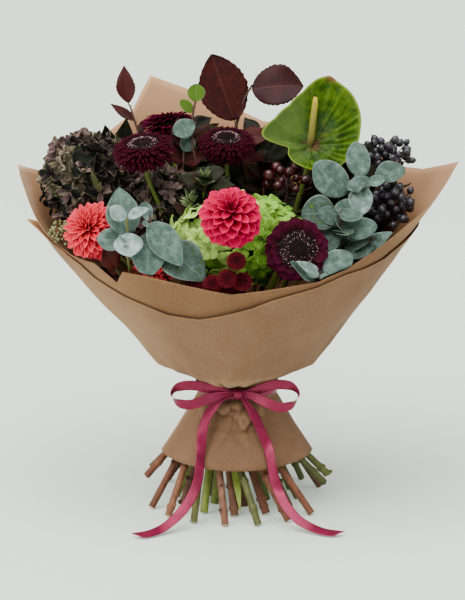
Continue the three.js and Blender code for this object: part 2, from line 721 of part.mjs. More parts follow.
function keepInside(here, margin) {
  const angle = Math.atan2(here.y, here.x);
  const degrees = (angle * 180) / Math.PI;
  if (here.z > rimHeight(INNER_RIM, degrees) + 4) return;
  const wall = wrapPoint(degrees, here.z, -1);
  const reach = Math.hypot(here.x, here.y) / (Math.hypot(wall.x, wall.y) - margin * 1.2);
  if (reach > 1) [here.x, here.y] = [here.x / reach, here.y / reach];
}

// The stem's radius falls from the tie to its tip
function stemRadii(path, slot, tipRadius) {
  const waist = waistRadius(slot.ring);
  return path.map((place) => {
    const share = smooth(place.z, SPREAD_START, SPREAD_START + 110);
    return waist + share * (tipRadius - waist);
  });
}

// Blooms

// Layers of petals round a heart: each layer climbs from its root to its petal tips and falls back under them
function rosette(petals, heart, layers, back, scale) {
  const columns = 2 * petals;
  const ring = (tipRadius, dipRadius, height, phase) => Array.from({ length: columns }, (_, k) => {
    const radius = (k + phase) % 2 ? dipRadius : tipRadius;
    const angle = (2 * Math.PI * k) / columns;
    const corner = new THREE.Vector3(radius * Math.cos(angle), radius * Math.sin(angle), height);
    return corner.multiplyScalar(scale);
  });
  const rings = heart.rings.map(([radius, height]) => ring(radius, radius, height, 0));
  layers.forEach(({ root, rootHeight, tip, dip, height }, i) => {
    rings.push(ring(root, root, rootHeight, 0), ring(tip, dip, height, i % 2));
  });
  back.rings.forEach(([radius, height]) => rings.push(ring(radius, radius, height, 0)));
  const pole = (height) => new THREE.Vector3(0, 0, height * scale);
  return ringed(pole(heart.top), rings, pole(back.bottom));
}

// Profiles for a bloom of radius 1
const GERBERA_PROFILE = {
  petals: 12,
  heart: { top: 0.1, rings: [[0.2, 0.12]] },
  layers: [
    { root: 0.24, rootHeight: 0.07, tip: 0.5, dip: 0.38, height: 0.2 },
    { root: 0.3, rootHeight: 0.02, tip: 0.93, dip: 0.72, height: 0.12 },
    { root: 0.32, rootHeight: -0.06, tip: 1, dip: 0.8, height: -0.03 },
  ],
  back: { bottom: -0.27, rings: [[0.24, -0.15], [0.1, -0.26]] },
  depth: 0.27,
};

function ballLayer(tipDegrees, rootDegrees, dipRadius) {
  const tipAngle = (tipDegrees * Math.PI) / 180;
  const rootAngle = (rootDegrees * Math.PI) / 180;
  return {
    root: 0.72 * Math.sin(rootAngle), rootHeight: 0.72 * Math.cos(rootAngle) * 0.85,
    tip: Math.sin(tipAngle), dip: dipRadius * Math.sin(tipAngle), height: Math.cos(tipAngle) * 0.85,
  };
}
const DAHLIA_PROFILE = {
  petals: 10,
  heart: { top: 0.6, rings: [[0.07, 0.68]] },
  layers: [
    ballLayer(20, 10, 0.7), ballLayer(40, 26, 0.8), ballLayer(61, 46, 0.82),
    ballLayer(83, 68, 0.84), ballLayer(106, 90, 0.84),
  ],
  back: { bottom: -0.56, rings: [[0.5, -0.44]] },
  depth: 0.56,
};
const LOW_DAHLIA_PROFILE = {
  petals: 10,
  heart: { top: 0.6, rings: [[0.12, 0.7]] },
  layers: [
    ballLayer(28, 16, 0.76), ballLayer(55, 38, 0.8), ballLayer(84, 64, 0.84), ballLayer(110, 92, 0.86),
  ],
  back: { bottom: -0.56, rings: [[0.5, -0.44]] },
};
const SANTINI_PROFILE = {
  petals: 6,
  heart: { top: 0.42, rings: [] },
  layers: [
    { root: 0.2, rootHeight: 0.36, tip: 0.62, dip: 0.42, height: 0.46 },
    { root: 0.4, rootHeight: 0.12, tip: 1, dip: 0.74, height: 0.14 },
  ],
  back: { bottom: -0.3, rings: [] },
};

function bloom(profile, radius) {
  return rosette(profile.petals, profile.heart, profile.layers, profile.back, radius);
}

// The rounded room that a bloom fills, with a margin
function roomOf(geometry, margin) {
  const places = geometry.attributes.position;
  const points = [];
  for (let i = 0; i < places.count; i++) {
    const place = new THREE.Vector3().fromBufferAttribute(places, i);
    const flat = Math.hypot(place.x, place.y);
    const grow = flat > 1 ? 1 + (margin * 1.1) / flat : 1;
    for (const rise of [margin, -margin]) {
      points.push(new THREE.Vector3(place.x * grow, place.y * grow, place.z + rise));
    }
  }
  return new ConvexGeometry(points);
}

// A rounded core, wide along x, y and z as given, from z up to its crown and a flatter underside
function core(size, share, columns = 8) {
  const ring = (degrees) => Array.from({ length: columns }, (_, k) => {
    const angle = (2 * Math.PI * k) / columns;
    const tilt = (degrees * Math.PI) / 180;
    const [a, b, c] = size.map((length) => length * share);
    return new THREE.Vector3(
      a * Math.sin(tilt) * Math.cos(angle), b * Math.sin(tilt) * Math.sin(angle), c * Math.cos(tilt));
  });
  const top = new THREE.Vector3(0, 0, size[2] * share);
  const bottom = new THREE.Vector3(0, 0, -size[2] * share * 0.85);
  return ringed(top, [ring(40), ring(80), ring(125)], bottom);
}

// A floret of four pointed petals, its foot drawn to a point that is sunk in the head
function floret(radius, depth) {
  const rim = Array.from({ length: 4 }, (_, k) => {
    const angle = (Math.PI * k) / 2;
    return new THREE.Vector3(radius * Math.cos(angle), radius * Math.sin(angle), k % 2 ? 1.5 : -1);
  });
  return ringed(new THREE.Vector3(0, 0, -2.6), [rim], new THREE.Vector3(0, 0, -depth));
}

// Even spread of directions over a cap round z
function capDirections(count, widest) {
  const low = Math.cos((widest * Math.PI) / 180);
  return Array.from({ length: count }, (_, k) => {
    const z = 1 - ((k + 0.5) / count) * (1 - low);
    const angle = k * Math.PI * (3 - Math.sqrt(5));
    const flat = Math.sqrt(1 - z * z);
    return new THREE.Vector3(flat * Math.cos(angle), flat * Math.sin(angle), z);
  });
}

function hydrangeaHead({ size, florets, floret: floretRadius }) {
  const solids = [toSolid(core(size, 0.74))];
  for (const [k, direction] of capDirections(florets, 122).entries()) {
    const place = new THREE.Vector3(direction.x * size[0], direction.y * size[1], direction.z * size[2]);
    const outward = [direction.x / size[0], direction.y / size[1], direction.z / size[2]];
    const petals = floret(floretRadius, place.length() * 0.36);
    solids.push(toSolid(petals.applyMatrix4(facing(place.toArray(), outward, k))));
  }
  return fuse(solids);
}

// The spathe's reach from its tip, at 0, round to its cleft, at 1
const SPATHE_AWAY = [0, 0.12, 0.3, 0.55, 0.75, 0.88, 0.96, 1];
const SPATHE_REACH = [1, 0.84, 0.78, 0.72, 0.62, 0.56, 0.4, 0.16];

// The anthurium's heart-shaped spathe: a dished sheet round the foot of its spadix
function spathe(length, swell) {
  const columns = 20;
  const shares = [0.5, 1];
  const outline = (angle) => length * between(Math.abs(angle) / Math.PI, SPATHE_AWAY, SPATHE_REACH);
  const layers = [0.5 + swell, -0.5 - swell].map((shift) => {
    const rings = shares.map((share) => Array.from({ length: columns }, (_, k) => {
      const angle = -Math.PI + (2 * Math.PI * k) / columns;
      const reach = outline(angle) * share + swell;
      const dish = length * 0.16 * share * share;
      const curl = Math.sin(angle) > 0 ? 0 : length * 0.08 * share ** 3;
      return new THREE.Vector3(reach * Math.sin(angle), reach * Math.cos(angle), dish + curl + shift);
    }));
    return { centre: new THREE.Vector3(0, 0, shift), rings };
  });
  const [front, rear] = layers;
  const frontRings = front.rings.map((ring) => [...ring].reverse());
  const rearRings = rear.rings.map((ring) => [...ring].reverse()).reverse();
  return ringed(front.centre, [...frontRings, ...rearRings], rear.centre);
}

// Berries or buds on thin stalks that leave the end of the stem one above another
function fruitSpray({ at, size, count, fruit, seed }, swell) {
  const draw = drawer(seed);
  return capDirections(count, 115).flatMap((direction, k) => {
    const reach = 0.74 + 0.26 * draw();
    const place = direction.clone().multiply(point(size)).multiplyScalar(reach).add(point(at));
    const root = above(at, -size[2] * (0.05 + (0.75 * k) / count));
    const berry = new THREE.IcosahedronGeometry(fruit + swell, 0).translate(...place.toArray());
    return [toSolid(berry), toSolid(stalk([root, place], [0.9 + swell, 0.6 + swell], 3))];
  });
}

// Short pointed leaves all round the end of a sprig
function spikySprig({ at, seed }, swell) {
  const draw = drawer(seed);
  return capDirections(SPIKE_COUNT, 100).map((direction, k) => {
    const reach = SPIKE_LENGTH * (0.85 + 0.3 * draw());
    const root = above(at, 1 - (9 * k) / SPIKE_COUNT);
    const belly = point(at).addScaledVector(direction, reach * 0.5);
    const tip = point(at).addScaledVector(direction, reach);
    return toSolid(stalk([root, belly, tip], [0.8 + swell, 1.6 + swell, 0.45 + swell], 3));
  });
}

// Five pointed leaves up a plain stem
function greeneryLeaves({ at, seed }) {
  const draw = drawer(seed);
  const [x, y, z] = at;
  const leaves = [];
  for (let k = 0; k < 5; k++) {
    const angle = k * 2.4 + 6.28 * draw();
    const height = z + 8 - k * 11;
    const reach = 40 + 8 * draw();
    const outward = [Math.cos(angle), Math.sin(angle)];
    const share = (height - z) / 60;
    leaves.push({
      root: [x * (1 + share * 0.12), y * (1 + share * 0.12), height],
      tip: [x + outward[0] * reach, y + outward[1] * reach, height + reach * (0.75 - 0.5 * draw())],
      width: 19, shape: POINTED_LEAF, look: [outward[0] * 0.4, outward[1] * 0.4, 1],
    });
  }
  return leaves;
}

// Where every stem ends and its own growth begins
const HOOK = 22;

function bloomEnd({ at, faces }, depth) {
  const axis = point(faces).normalize();
  const seat = point(at).addScaledVector(axis, -depth);
  const bend = seat.clone().addScaledVector(axis, -HOOK * 0.5);
  bend.z -= HOOK * 0.35;
  return [bend, seat];
}

const growths = [
  ...GERBERAS.map((one) => ({
    ...one, kind: "gerbera", tipRadius: one.stem, growth: bloomEnd(one, GERBERA_PROFILE.depth * one.radius),
  })),
  ...DAHLIAS.map((one, i) => ({
    ...one, kind: "dahlia", tipRadius: one.stem, growth: bloomEnd(one, DAHLIA_PROFILE.depth * one.radius),
    profile: i < 2 ? DAHLIA_PROFILE : LOW_DAHLIA_PROFILE,
  })),
  ...HYDRANGEAS.map((one) => ({
    ...one, kind: "hydrangea", tipRadius: one.stem, growth: bloomEnd(one, one.size[2] * 0.6),
  })),
  {
    ...ANTHURIUM, node: "anthurium", kind: "anthurium", tipRadius: ANTHURIUM.stem,
    growth: bloomEnd(ANTHURIUM, 1.5),
  },
  ...EUCALYPTUS_TWIGS.map((one) => ({
    ...one, kind: "eucalyptus", tipRadius: 1.4, growth: one.path.map(point),
  })),
  ...BEECH_TWIGS.map((one) => ({ ...one, kind: "beech", tipRadius: 1.4, growth: one.path.map(point) })),
  ...SANTINI_SPRAYS.map((one) => ({ ...one, kind: "santini", tipRadius: 2, growth: [point(one.branch)] })),
  ...BERRY_SPRAYS.map((one) => ({
    ...one, kind: "fruit", tipRadius: 1.8, growth: [above(one.at, -one.size[2] * 0.9), above(one.at, 0)],
  })),
  ...SPIKY_SPRAYS.map((one) => ({
    ...one, kind: "spiky", tipRadius: 1.4, growth: [above(one.at, -9), above(one.at, 2)],
  })),
  ...LEAFY_STEMS.map((one) => ({
    ...one, kind: "greenery", tipRadius: 1.6, growth: [above(one.at, 0), above(one.at, 12)],
  })),
];

// What stems bend round: blooms and bunches as rounded bulks
const bulks = [
  ...GERBERAS.map((one) => ({ ...one, across: one.radius, along: one.radius * 0.25 })),
  ...DAHLIAS.map((one) => ({ ...one, across: one.radius, along: one.radius * 0.8 })),
  ...HYDRANGEAS.map((one) => ({ ...one, across: one.size[0] * 0.55, along: one.size[2] * 0.55 })),
  { ...ANTHURIUM, node: "anthurium", across: ANTHURIUM.length * 0.6, along: 3 },
  ...BERRY_SPRAYS.map((one) => ({
    ...one, faces: [0, 0, 1], across: one.size[0] + 3, along: one.size[2] + 3,
  })),
].map(({ node, at, faces, across, along }) => (
  { owner: node, centre: point(at), axis: point(faces).normalize(), across, along }));

shareSlots(growths.map((one) => one.growth[0])).forEach((slot, i) => {
  growths[i].slot = slot;
  growths[i].levels = stemLevels(slot, growths[i].growth[0]);
});
easeStems(growths);
for (const one of growths) {
  const upper = thinned([...one.levels, ...one.growth], PATH_TOLERANCE);
  one.route = [...footPath(one.slot), ...upper];
}

// Ribbon

function ribbonRun(list, faces) {
  const curve = new THREE.CatmullRomCurve3(list.map(point));
  const path = curve.getPoints(list.length - 2);
  const turns = path.map((_, i) => {
    const place = (i / (path.length - 1)) * (faces.length - 1);
    const low = Math.min(Math.floor(place), faces.length - 2);
    return point(faces[low]).lerp(point(faces[low + 1]), place - low).normalize();
  });
  return toSolid(strip(path, turns, path.map(() => RIBBON_WIDTH), RIBBON_THICKNESS));
}

function band(radius, thickness, low, high, sides) {
  const outline = (reach) => Array.from({ length: sides }, (_, k) => {
    const angle = (2 * Math.PI * k) / sides;
    return new THREE.Vector2(reach * Math.cos(angle), reach * Math.sin(angle));
  });
  const shape = new THREE.Shape(outline(radius + thickness));
  shape.holes.push(new THREE.Path(outline(radius)));
  const geometry = new THREE.ExtrudeGeometry(shape, { depth: high - low, bevelEnabled: false });
  return toSolid(geometry.translate(0, 0, low));
}

function ribbon() {
  const toViewer = [0, -1, 0];
  const knot = new THREE.SphereGeometry(1, 7, 4).scale(8, 5.2, 6.5).translate(1, -49, 128.5);
  const half = RIBBON_WIDTH / 2;
  return fuse([
    band(BAND_RADIUS, RIBBON_THICKNESS, BAND_HEIGHT - half, BAND_HEIGHT + half, BAND_SIDES),
    toSolid(knot),
    ribbonRun(LEFT_LOOP, [toViewer, toViewer, [1, -0.2, 0], [0, 1, 0], [0, 1, 0]]),
    ribbonRun(RIGHT_LOOP, [toViewer, toViewer, [-1, -0.2, 0], [0, 1, 0], [0, 1, 0]]),
    ribbonRun(LEFT_TAIL, [[0, -1, 0.2], toViewer, toViewer, [0, -0.8, 0.6], [0, -0.72, 0.7]]),
    ribbonRun(RIGHT_TAIL, [[0, -1, 0.2], toViewer, toViewer, [0, -0.8, 0.6], [0, -0.72, 0.7]]),
  ]);
}

// The pieces, each cut clear of those set before it

const bouquet = new THREE.Group();

function overlaps(a, b) {
  const [p, q] = [a.boundingBox(), b.boundingBox()];
  return [0, 1, 2].every((axis) => p.min[axis] < q.max[axis] && q.min[axis] < p.max[axis]);
}

function clearOf(solid, rooms) {
  return rooms.reduce((cut, room) => (overlaps(cut, room) ? cut.subtract(room) : cut), solid);
}

function place(node, look, geometry) {
  const mesh = new THREE.Mesh(geometry, new THREE.MeshStandardMaterial({ metalness: 0, ...look }));
  mesh.name = node;
  bouquet.add(mesh);
}

function binding() {
  const lastRing = STEMS_IN_RINGS.length - 1;
  const inner = lastRing * STEM_PITCH + waistRadius(lastRing) + 0.4;
  const outer = PAPER_RIGHT[3] - PAPER_THICKNESS / 2 - 1.7;
  return band(inner, outer - inner, TIE_HEIGHT - 6, TIE_HEIGHT + 6, 24);
}

function stemSolid({ route, slot, tipRadius }, swell) {
  const radii = stemRadii(route, slot, tipRadius).map((radius) => radius + swell);
  const [before, tip] = route.slice(-2);
  const beyond = tip.clone().addScaledVector(tip.clone().sub(before).normalize(), swell);
  return toSolid(stalk([...route.slice(0, -1), beyond], radii, STEM_SIDES, route[0].z < 1));
}

// The bloom, leaves, fruits or buds at the end of a stem, one solid for each part
function growthParts(one, swell) {
  const turned = (geometry) => toSolid(geometry.applyMatrix4(facing(one.at, one.faces)));
  if (one.kind === "gerbera" || one.kind === "dahlia") {
    const flower = bloom(one.kind === "gerbera" ? GERBERA_PROFILE : one.profile, one.radius);
    return [turned(swell ? roomOf(flower, swell) : flower)];
  }
  if (one.kind === "hydrangea") {
    const head = hydrangeaHead(one);
    return [swell ? turned(roomOf(toGeometry(head), swell)) : turned(toGeometry(head))];
  }
  if (one.kind === "eucalyptus" || one.kind === "beech") {
    const beech = one.kind === "beech";
    const shape = beech ? BEECH_LEAF : ROUND_LEAF;
    return one.leaves.map((item) => toSolid(leaf({ ...item, shape, ribbed: beech, wave: 0.9 }, swell)));
  }
  if (one.kind === "greenery") return greeneryLeaves(one).map((item) => toSolid(leaf(item, swell)));
  if (one.kind === "fruit") return fruitSpray(one, swell);
  if (one.kind === "spiky") return spikySprig(one, swell);
  return one.heads.flatMap((head) => santiniHead(head, point(one.branch), swell));
}

function santiniHead(head, branch, swell) {
  const faces = [0.1 * (head[0] + 8), -14, 8];
  const axis = point(faces).normalize();
  const seat = point(head).addScaledVector(axis, -SANTINI_RADIUS * 0.3);
  const under = point(head).addScaledVector(axis, -SANTINI_RADIUS * 1.1);
  const twig = stalk([branch, under, seat], [1.8 + swell, 1.3 + swell, 1.3 + swell], 4);
  const flower = bloom(SANTINI_PROFILE, SANTINI_RADIUS);
  const head3d = (swell ? roomOf(flower, swell) : flower).applyMatrix4(facing(head, faces));
  return [toSolid(twig), toSolid(head3d)];
}

const STEM_LOOKS = { gerbera: FRESH_STEM, dahlia: DARK_STEM, hydrangea: BROWN_STEM, anthurium: FRESH_STEM };
const SPRAY_LOOKS = {
  eucalyptus: EUCALYPTUS, beech: BEECH, greenery: GREENERY, spiky: SEDUM, santini: BURGUNDY,
};

const paper = paperSheets();
place("paper_inner", KRAFT, paper.inner);
place("paper_outer", KRAFT, paper.outer);
const tie = [ribbon(), binding()];
place("ribbon", SATIN, toGeometry(tie[0]));
place("stem_binding", TWINE, toGeometry(tie[1]));

// Stems first, as they carry the rest
const rooms = [toSolid(paper.room), ...tie];
for (const one of growths) {
  one.stemBody = mainBody(clearOf(stemSolid(one, 0), rooms));
  one.stemRoom = stemSolid(one, CLEARANCE);
  rooms.push(one.stemRoom);
}
for (const one of growths) {
  const others = rooms.filter((room) => room !== one.stemRoom);
  if (STEM_LOOKS[one.kind]) {
    place(`${one.node}_stem`, STEM_LOOKS[one.kind], toGeometry(one.stemBody));
    if (one.kind === "anthurium") {
      placeAnthurium(rooms);
    } else {
      const flower = clearOf(growthParts(one, 0)[0], rooms);
      place(one.node, one.look ?? BURGUNDY, toGeometry(mainBody(flower)));
      rooms.push(growthParts(one, CLEARANCE)[0]);
    }
  } else {
    const parts = growthParts(one, 0).map((part) => clearOf(part, others));
    place(one.node, one.look ?? SPRAY_LOOKS[one.kind], toGeometry(mainBody(fuse([one.stemBody, ...parts]))));
    rooms.push(...growthParts(one, CLEARANCE));
  }
}

function placeAnthurium(rooms) {
  const { at, faces, length } = ANTHURIUM;
  const turned = (geometry) => toSolid(geometry.applyMatrix4(facing(at, faces)));
  const rise = [[0, 0, 0.01], [0.02, 0.09, 0.07], [0.04, 0.34, 0.15], [0.06, 0.58, 0.19], [0.06, 0.7, 0.2]];
  const path = rise.map(([x, y, z]) => new THREE.Vector3(x * length, y * length, z * length));
  const finger = (swell) => turned(stalk(path, [3.4, 3.6, 3.3, 2.6, 1.4].map((radius) => radius + swell), 7));
  place("anthurium_spadix", SPADIX_YELLOW, toGeometry(mainBody(clearOf(finger(0), rooms))));
  rooms.push(finger(CLEARANCE));
  place("anthurium_spathe", ANTHURIUM_GREEN, toGeometry(mainBody(clearOf(turned(spathe(length, 0)), rooms))));
  rooms.push(turned(spathe(length, CLEARANCE)));
}

// Centred on its own box, standing at z = 0
const box = new THREE.Box3().setFromObject(bouquet);
bouquet.position.set(-(box.min.x + box.max.x) / 2, -(box.min.y + box.max.y) / 2, -box.min.z);

export default bouquet;
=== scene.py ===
# %% [markdown]
# # A hand-tied bouquet
# Mixed flowers and leaves stand in two sheets of kraft paper, tied with a satin ribbon. The packed
# model gives every stem, bloom and sheet its place and size. This script makes the fine surfaces:
# petals, veins, paper creases and satin. Each piece takes the place of the solid that it is named after.

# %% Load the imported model
import math
import random

import bpy
import numpy as np
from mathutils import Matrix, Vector, noise


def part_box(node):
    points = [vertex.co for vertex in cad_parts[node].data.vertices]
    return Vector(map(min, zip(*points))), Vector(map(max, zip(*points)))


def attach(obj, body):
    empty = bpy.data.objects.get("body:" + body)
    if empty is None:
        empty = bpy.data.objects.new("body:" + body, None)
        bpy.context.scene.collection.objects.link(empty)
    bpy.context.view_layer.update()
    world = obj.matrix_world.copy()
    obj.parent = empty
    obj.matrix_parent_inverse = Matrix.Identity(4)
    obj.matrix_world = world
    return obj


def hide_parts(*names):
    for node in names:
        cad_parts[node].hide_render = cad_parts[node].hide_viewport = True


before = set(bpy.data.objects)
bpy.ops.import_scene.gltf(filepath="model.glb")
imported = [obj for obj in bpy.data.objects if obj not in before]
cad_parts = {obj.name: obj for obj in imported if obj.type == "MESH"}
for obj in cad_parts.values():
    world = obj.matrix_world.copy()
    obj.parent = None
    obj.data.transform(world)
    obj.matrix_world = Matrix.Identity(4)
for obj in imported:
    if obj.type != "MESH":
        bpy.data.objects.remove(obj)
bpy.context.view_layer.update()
print("nodes in the frame:", len(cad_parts))

# %% [markdown]
# ## Units
# Everything below is written in millimetres about the axis of the tie, because a florist thinks of a
# bouquet from its tie: stems cross there and fan out from it. The frame is in metres about the middle
# of the whole object, so one function moves points across.

# %% Millimetres about the tie
MM = 0.001
tie_low, tie_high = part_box("stem_binding")
AXIS = np.array([(tie_low.x + tie_high.x) / 2, (tie_low.y + tie_high.y) / 2, 0])
TIE_HEIGHT = (tie_low.z + tie_high.z) / 2 / MM


def to_row(points):
    """Points in millimetres about the tie, as metres in the frame."""
    return np.asarray(points, float) * MM + AXIS


print("the tie is", round(TIE_HEIGHT, 1), "mm up")

# %% [markdown]
# ## Camera, floor and light
# The picture was taken from about two metres with a long lens, from a little above. The floor and the
# background are one pale sheet that glows a little, so shadows on it stay soft. A wide sun stands high in
# front, a little to the left. One soft light fills the left side, a weak one the right, and the sky fills
# the rest.

# %% Camera
PHOTO_HEIGHT = 600
MM_PER_PIXEL = 1.05
CAMERA_DISTANCE = 2000
CAMERA_ELEVATION = math.radians(12)
LOOK_AT = np.array([-4.7, 0, 217.5])
SENSOR = 36

camera_data = bpy.data.cameras.new("camera")
camera_data.sensor_width = SENSOR
camera_data.lens = SENSOR * CAMERA_DISTANCE / (PHOTO_HEIGHT * MM_PER_PIXEL)
camera = bpy.data.objects.new("camera", camera_data)
bring_in = bpy.context.scene.collection.objects.link
bring_in(camera)
camera_offset = np.array([0, -math.cos(CAMERA_ELEVATION), math.sin(CAMERA_ELEVATION)]) * CAMERA_DISTANCE
camera.location = to_row(LOOK_AT + camera_offset)
camera.rotation_euler = (math.pi / 2 - CAMERA_ELEVATION, 0, 0)
bpy.context.scene.camera = camera
print("lens", round(camera_data.lens, 1), "mm")

# %% Floor
FLOOR_HALF = 45.0
FLOOR_COLOUR = (0.62, 0.68, 0.61, 1)
FLOOR_GLOW = (0.88, 1, 0.88, 1)
FLOOR_GLOW_STRENGTH = 0.27

floor_mesh = bpy.data.meshes.new("floor")
floor_corners = [(x * FLOOR_HALF, y * FLOOR_HALF, 0) for x, y in ((-1, -1), (1, -1), (1, 1), (-1, 1))]
floor_mesh.from_pydata(floor_corners, [], [(0, 1, 2, 3)])
floor = bpy.data.objects.new("floor", floor_mesh)
bring_in(floor)
floor_finish = bpy.data.materials.new("floor")
floor_finish.use_nodes = True
floor_surface = floor_finish.node_tree.nodes["Principled BSDF"].inputs
floor_surface["Base Color"].default_value = FLOOR_COLOUR
floor_surface["Roughness"].default_value = 0.9
floor_surface["Emission Color"].default_value = FLOOR_GLOW
floor_surface["Emission Strength"].default_value = FLOOR_GLOW_STRENGTH
floor_mesh.materials.append(floor_finish)
print("floor", 2 * FLOOR_HALF, "m wide")


# %% Lights
BUNCH_MIDDLE = (0, 0, 0.25)
LAMP_SIZE = 1.4
SUN_STRENGTH = 6.6
SUN_ANGLE = 1.2
SUN_SHINES = (0.16, 0.31, -1)
SKY_STRENGTH = 0.42


def soft_light(name, place, watts, colour):
    """A square light that shines at the middle of the bunch. Its place is in metres."""
    data = bpy.data.lights.new(name, "AREA")
    data.size = LAMP_SIZE
    data.energy = watts
    data.color = colour
    light = bpy.data.objects.new(name, data)
    bring_in(light)
    light.location = place
    light.rotation_euler = (Vector(BUNCH_MIDDLE) - Vector(place)).to_track_quat("-Z", "Y").to_euler()


soft_light("left_fill", (-2.3, -1.8, 1.2), 44, (1, 0.99, 0.97))
soft_light("right_fill", (2.1, -1.7, 0.9), 8, (1, 0.99, 0.98))
sun_data = bpy.data.lights.new("key", "SUN")
sun_data.energy = SUN_STRENGTH
sun_data.angle = SUN_ANGLE
sun_data.color = (1, 0.99, 0.965)
sun = bpy.data.objects.new("key", sun_data)
bring_in(sun)
sun.rotation_euler = Vector(SUN_SHINES).to_track_quat("-Z", "Y").to_euler()
world = bpy.data.worlds.new("studio")
world.use_nodes = True
world.node_tree.nodes["Background"].inputs["Color"].default_value = (0.97, 0.985, 1, 1)
world.node_tree.nodes["Background"].inputs["Strength"].default_value = SKY_STRENGTH
bpy.context.scene.world = world
print("lights:", [(light.name, round(light.energy, 1)) for light in bpy.data.lights])

# %% [markdown]
# ## Shader maths
# A finish is a sum of patterns. Written as Python sums it stays readable, so a small class wraps a
# socket and turns operators into Math nodes. Colours and vectors go through Mix and Vector Math nodes,
# because a Math node would turn a colour grey.


# %% Sockets as numbers
class Wire:
    """An output socket that adds, subtracts, multiplies and steps."""

    def __init__(self, finish, socket):
        self.finish = finish
        self.socket = socket

    def maths(self, operation, first, second=0.0):
        return self.finish.node("ShaderNodeMath", {"operation": operation}, {0: first, 1: second})

    def __add__(self, other):
        return self.maths("ADD", self, other)

    def __radd__(self, other):
        return self.maths("ADD", other, self)

    def __sub__(self, other):
        return self.maths("SUBTRACT", self, other)

    def __rsub__(self, other):
        return self.maths("SUBTRACT", other, self)

    def __mul__(self, other):
        return self.maths("MULTIPLY", self, other)

    def __rmul__(self, other):
        return self.maths("MULTIPLY", other, self)

    def size(self):
        return self.maths("ABSOLUTE", self)

    def sine(self):
        return self.maths("SINE", self)

    def over(self, low, high):
        """0 below low, 1 above high and smooth between, or the reverse where low is the larger."""
        settings = {"interpolation_type": "SMOOTHSTEP"}
        return self.finish.node("ShaderNodeMapRange", settings, {0: self, 1: low, 2: high})


# %% Finishes
class Finish:
    """A material: its own surface node, and one method that adds any other node."""

    def __init__(self, name, **surface):
        self.material = bpy.data.materials.new(name)
        self.material.use_nodes = True
        self.tree = self.material.node_tree
        self.surface = self.tree.nodes["Principled BSDF"]
        self.set(**surface)

    def set(self, **sockets):
        for name, value in sockets.items():
            self.feed(self.surface.inputs[name.replace("_", " ")], value)

    def feed(self, socket, value):
        if isinstance(value, Wire):
            self.tree.links.new(value.socket, socket)
        else:
            socket.default_value = value

    def node(self, kind, settings, sockets, out=0):
        made = self.tree.nodes.new(kind)
        for name, value in settings.items():
            if name == "stops":
                self.set_stops(made.color_ramp, value)
            else:
                setattr(made, name, value)
        for key, value in sockets.items():
            self.feed(made.inputs[key], value)
        return Wire(self, made.outputs[out])

    def set_stops(self, ramp, stops):
        while len(ramp.elements) < len(stops):
            ramp.elements.new(1)
        for element, (place, colour) in zip(ramp.elements, stops):
            element.position = place
            element.color = (*colour, 1)

    def place(self):
        """Position in millimetres."""
        inside = self.node("ShaderNodeTexCoord", {}, {}, "Object")
        return self.node("ShaderNodeVectorMath", {"operation": "SCALE"}, {0: inside, "Scale": 1 / MM})

    def tint(self):
        """What each vertex carries: how far along, how far across, and a draw for its own petal or leaf."""
        whole = self.node("ShaderNodeAttribute", {"attribute_name": "tint"}, {}, "Vector")
        return [self.node("ShaderNodeSeparateXYZ", {}, {0: whole}, part) for part in "XYZ"]

    def speckle(self, size, detail=2.0, roughness=0.5, stretch=None):
        """Soft noise whose spots are about as large as given, in millimetres."""
        where = self.place()
        if stretch:
            where = self.node("ShaderNodeVectorMath", {"operation": "MULTIPLY"}, {0: where, 1: stretch})
        sockets = {"Vector": where, "Scale": 1 / size, "Detail": detail, "Roughness": roughness}
        return self.node("ShaderNodeTexNoise", {}, sockets, "Factor" if "Factor" in NOISE_OUTPUTS else 0)

    def mix(self, first, second, share):
        """One colour to another by a share."""
        settings = {"data_type": "RGBA"}
        return self.node("ShaderNodeMix", settings, {0: share, 6: colour4(first), 7: colour4(second)}, 2)

    def ramp(self, value, stops):
        return self.node("ShaderNodeValToRGB", {"stops": stops}, {0: value})

    def bump(self, height, distance):
        """Relief of that height in millimetres where the pattern is 1."""
        sockets = {"Strength": 1.0, "Distance": distance * MM, "Height": height}
        return self.node("ShaderNodeBump", {}, sockets)


def colour4(colour):
    return colour if isinstance(colour, Wire) or len(colour) == 4 else (*colour, 1)


# %% Outputs of the noise node
probe = Finish("probe")
NOISE_OUTPUTS = [s.name for s in probe.tree.nodes.new("ShaderNodeTexNoise").outputs]
bpy.data.materials.remove(probe.material)
print("noise gives", NOISE_OUTPUTS)

# %% [markdown]
# ## Building meshes
# A bouquet is thousands of thin blades and round stalks. One builder collects them as plain arrays and
# makes one mesh of each piece. Petals, leaves, paper and ribbon are all sheets: a grid of points with
# a thickness, closed at its rim, so that the mesh is a real solid. Stems are tubes.


# %% Faces of a grid
def grid_faces(rows, columns, shut=True):
    """The numbers of a grid's points, the first column again at its end where it is shut, and the faces."""
    index = np.arange(rows * columns).reshape(rows, columns)
    if shut:
        index = np.concatenate([index, index[:, :1]], axis=1)
    faces = np.stack([index[:-1, :-1], index[:-1, 1:], index[1:, 1:], index[1:, :-1]], -1)
    return index, faces.reshape(-1, 4)


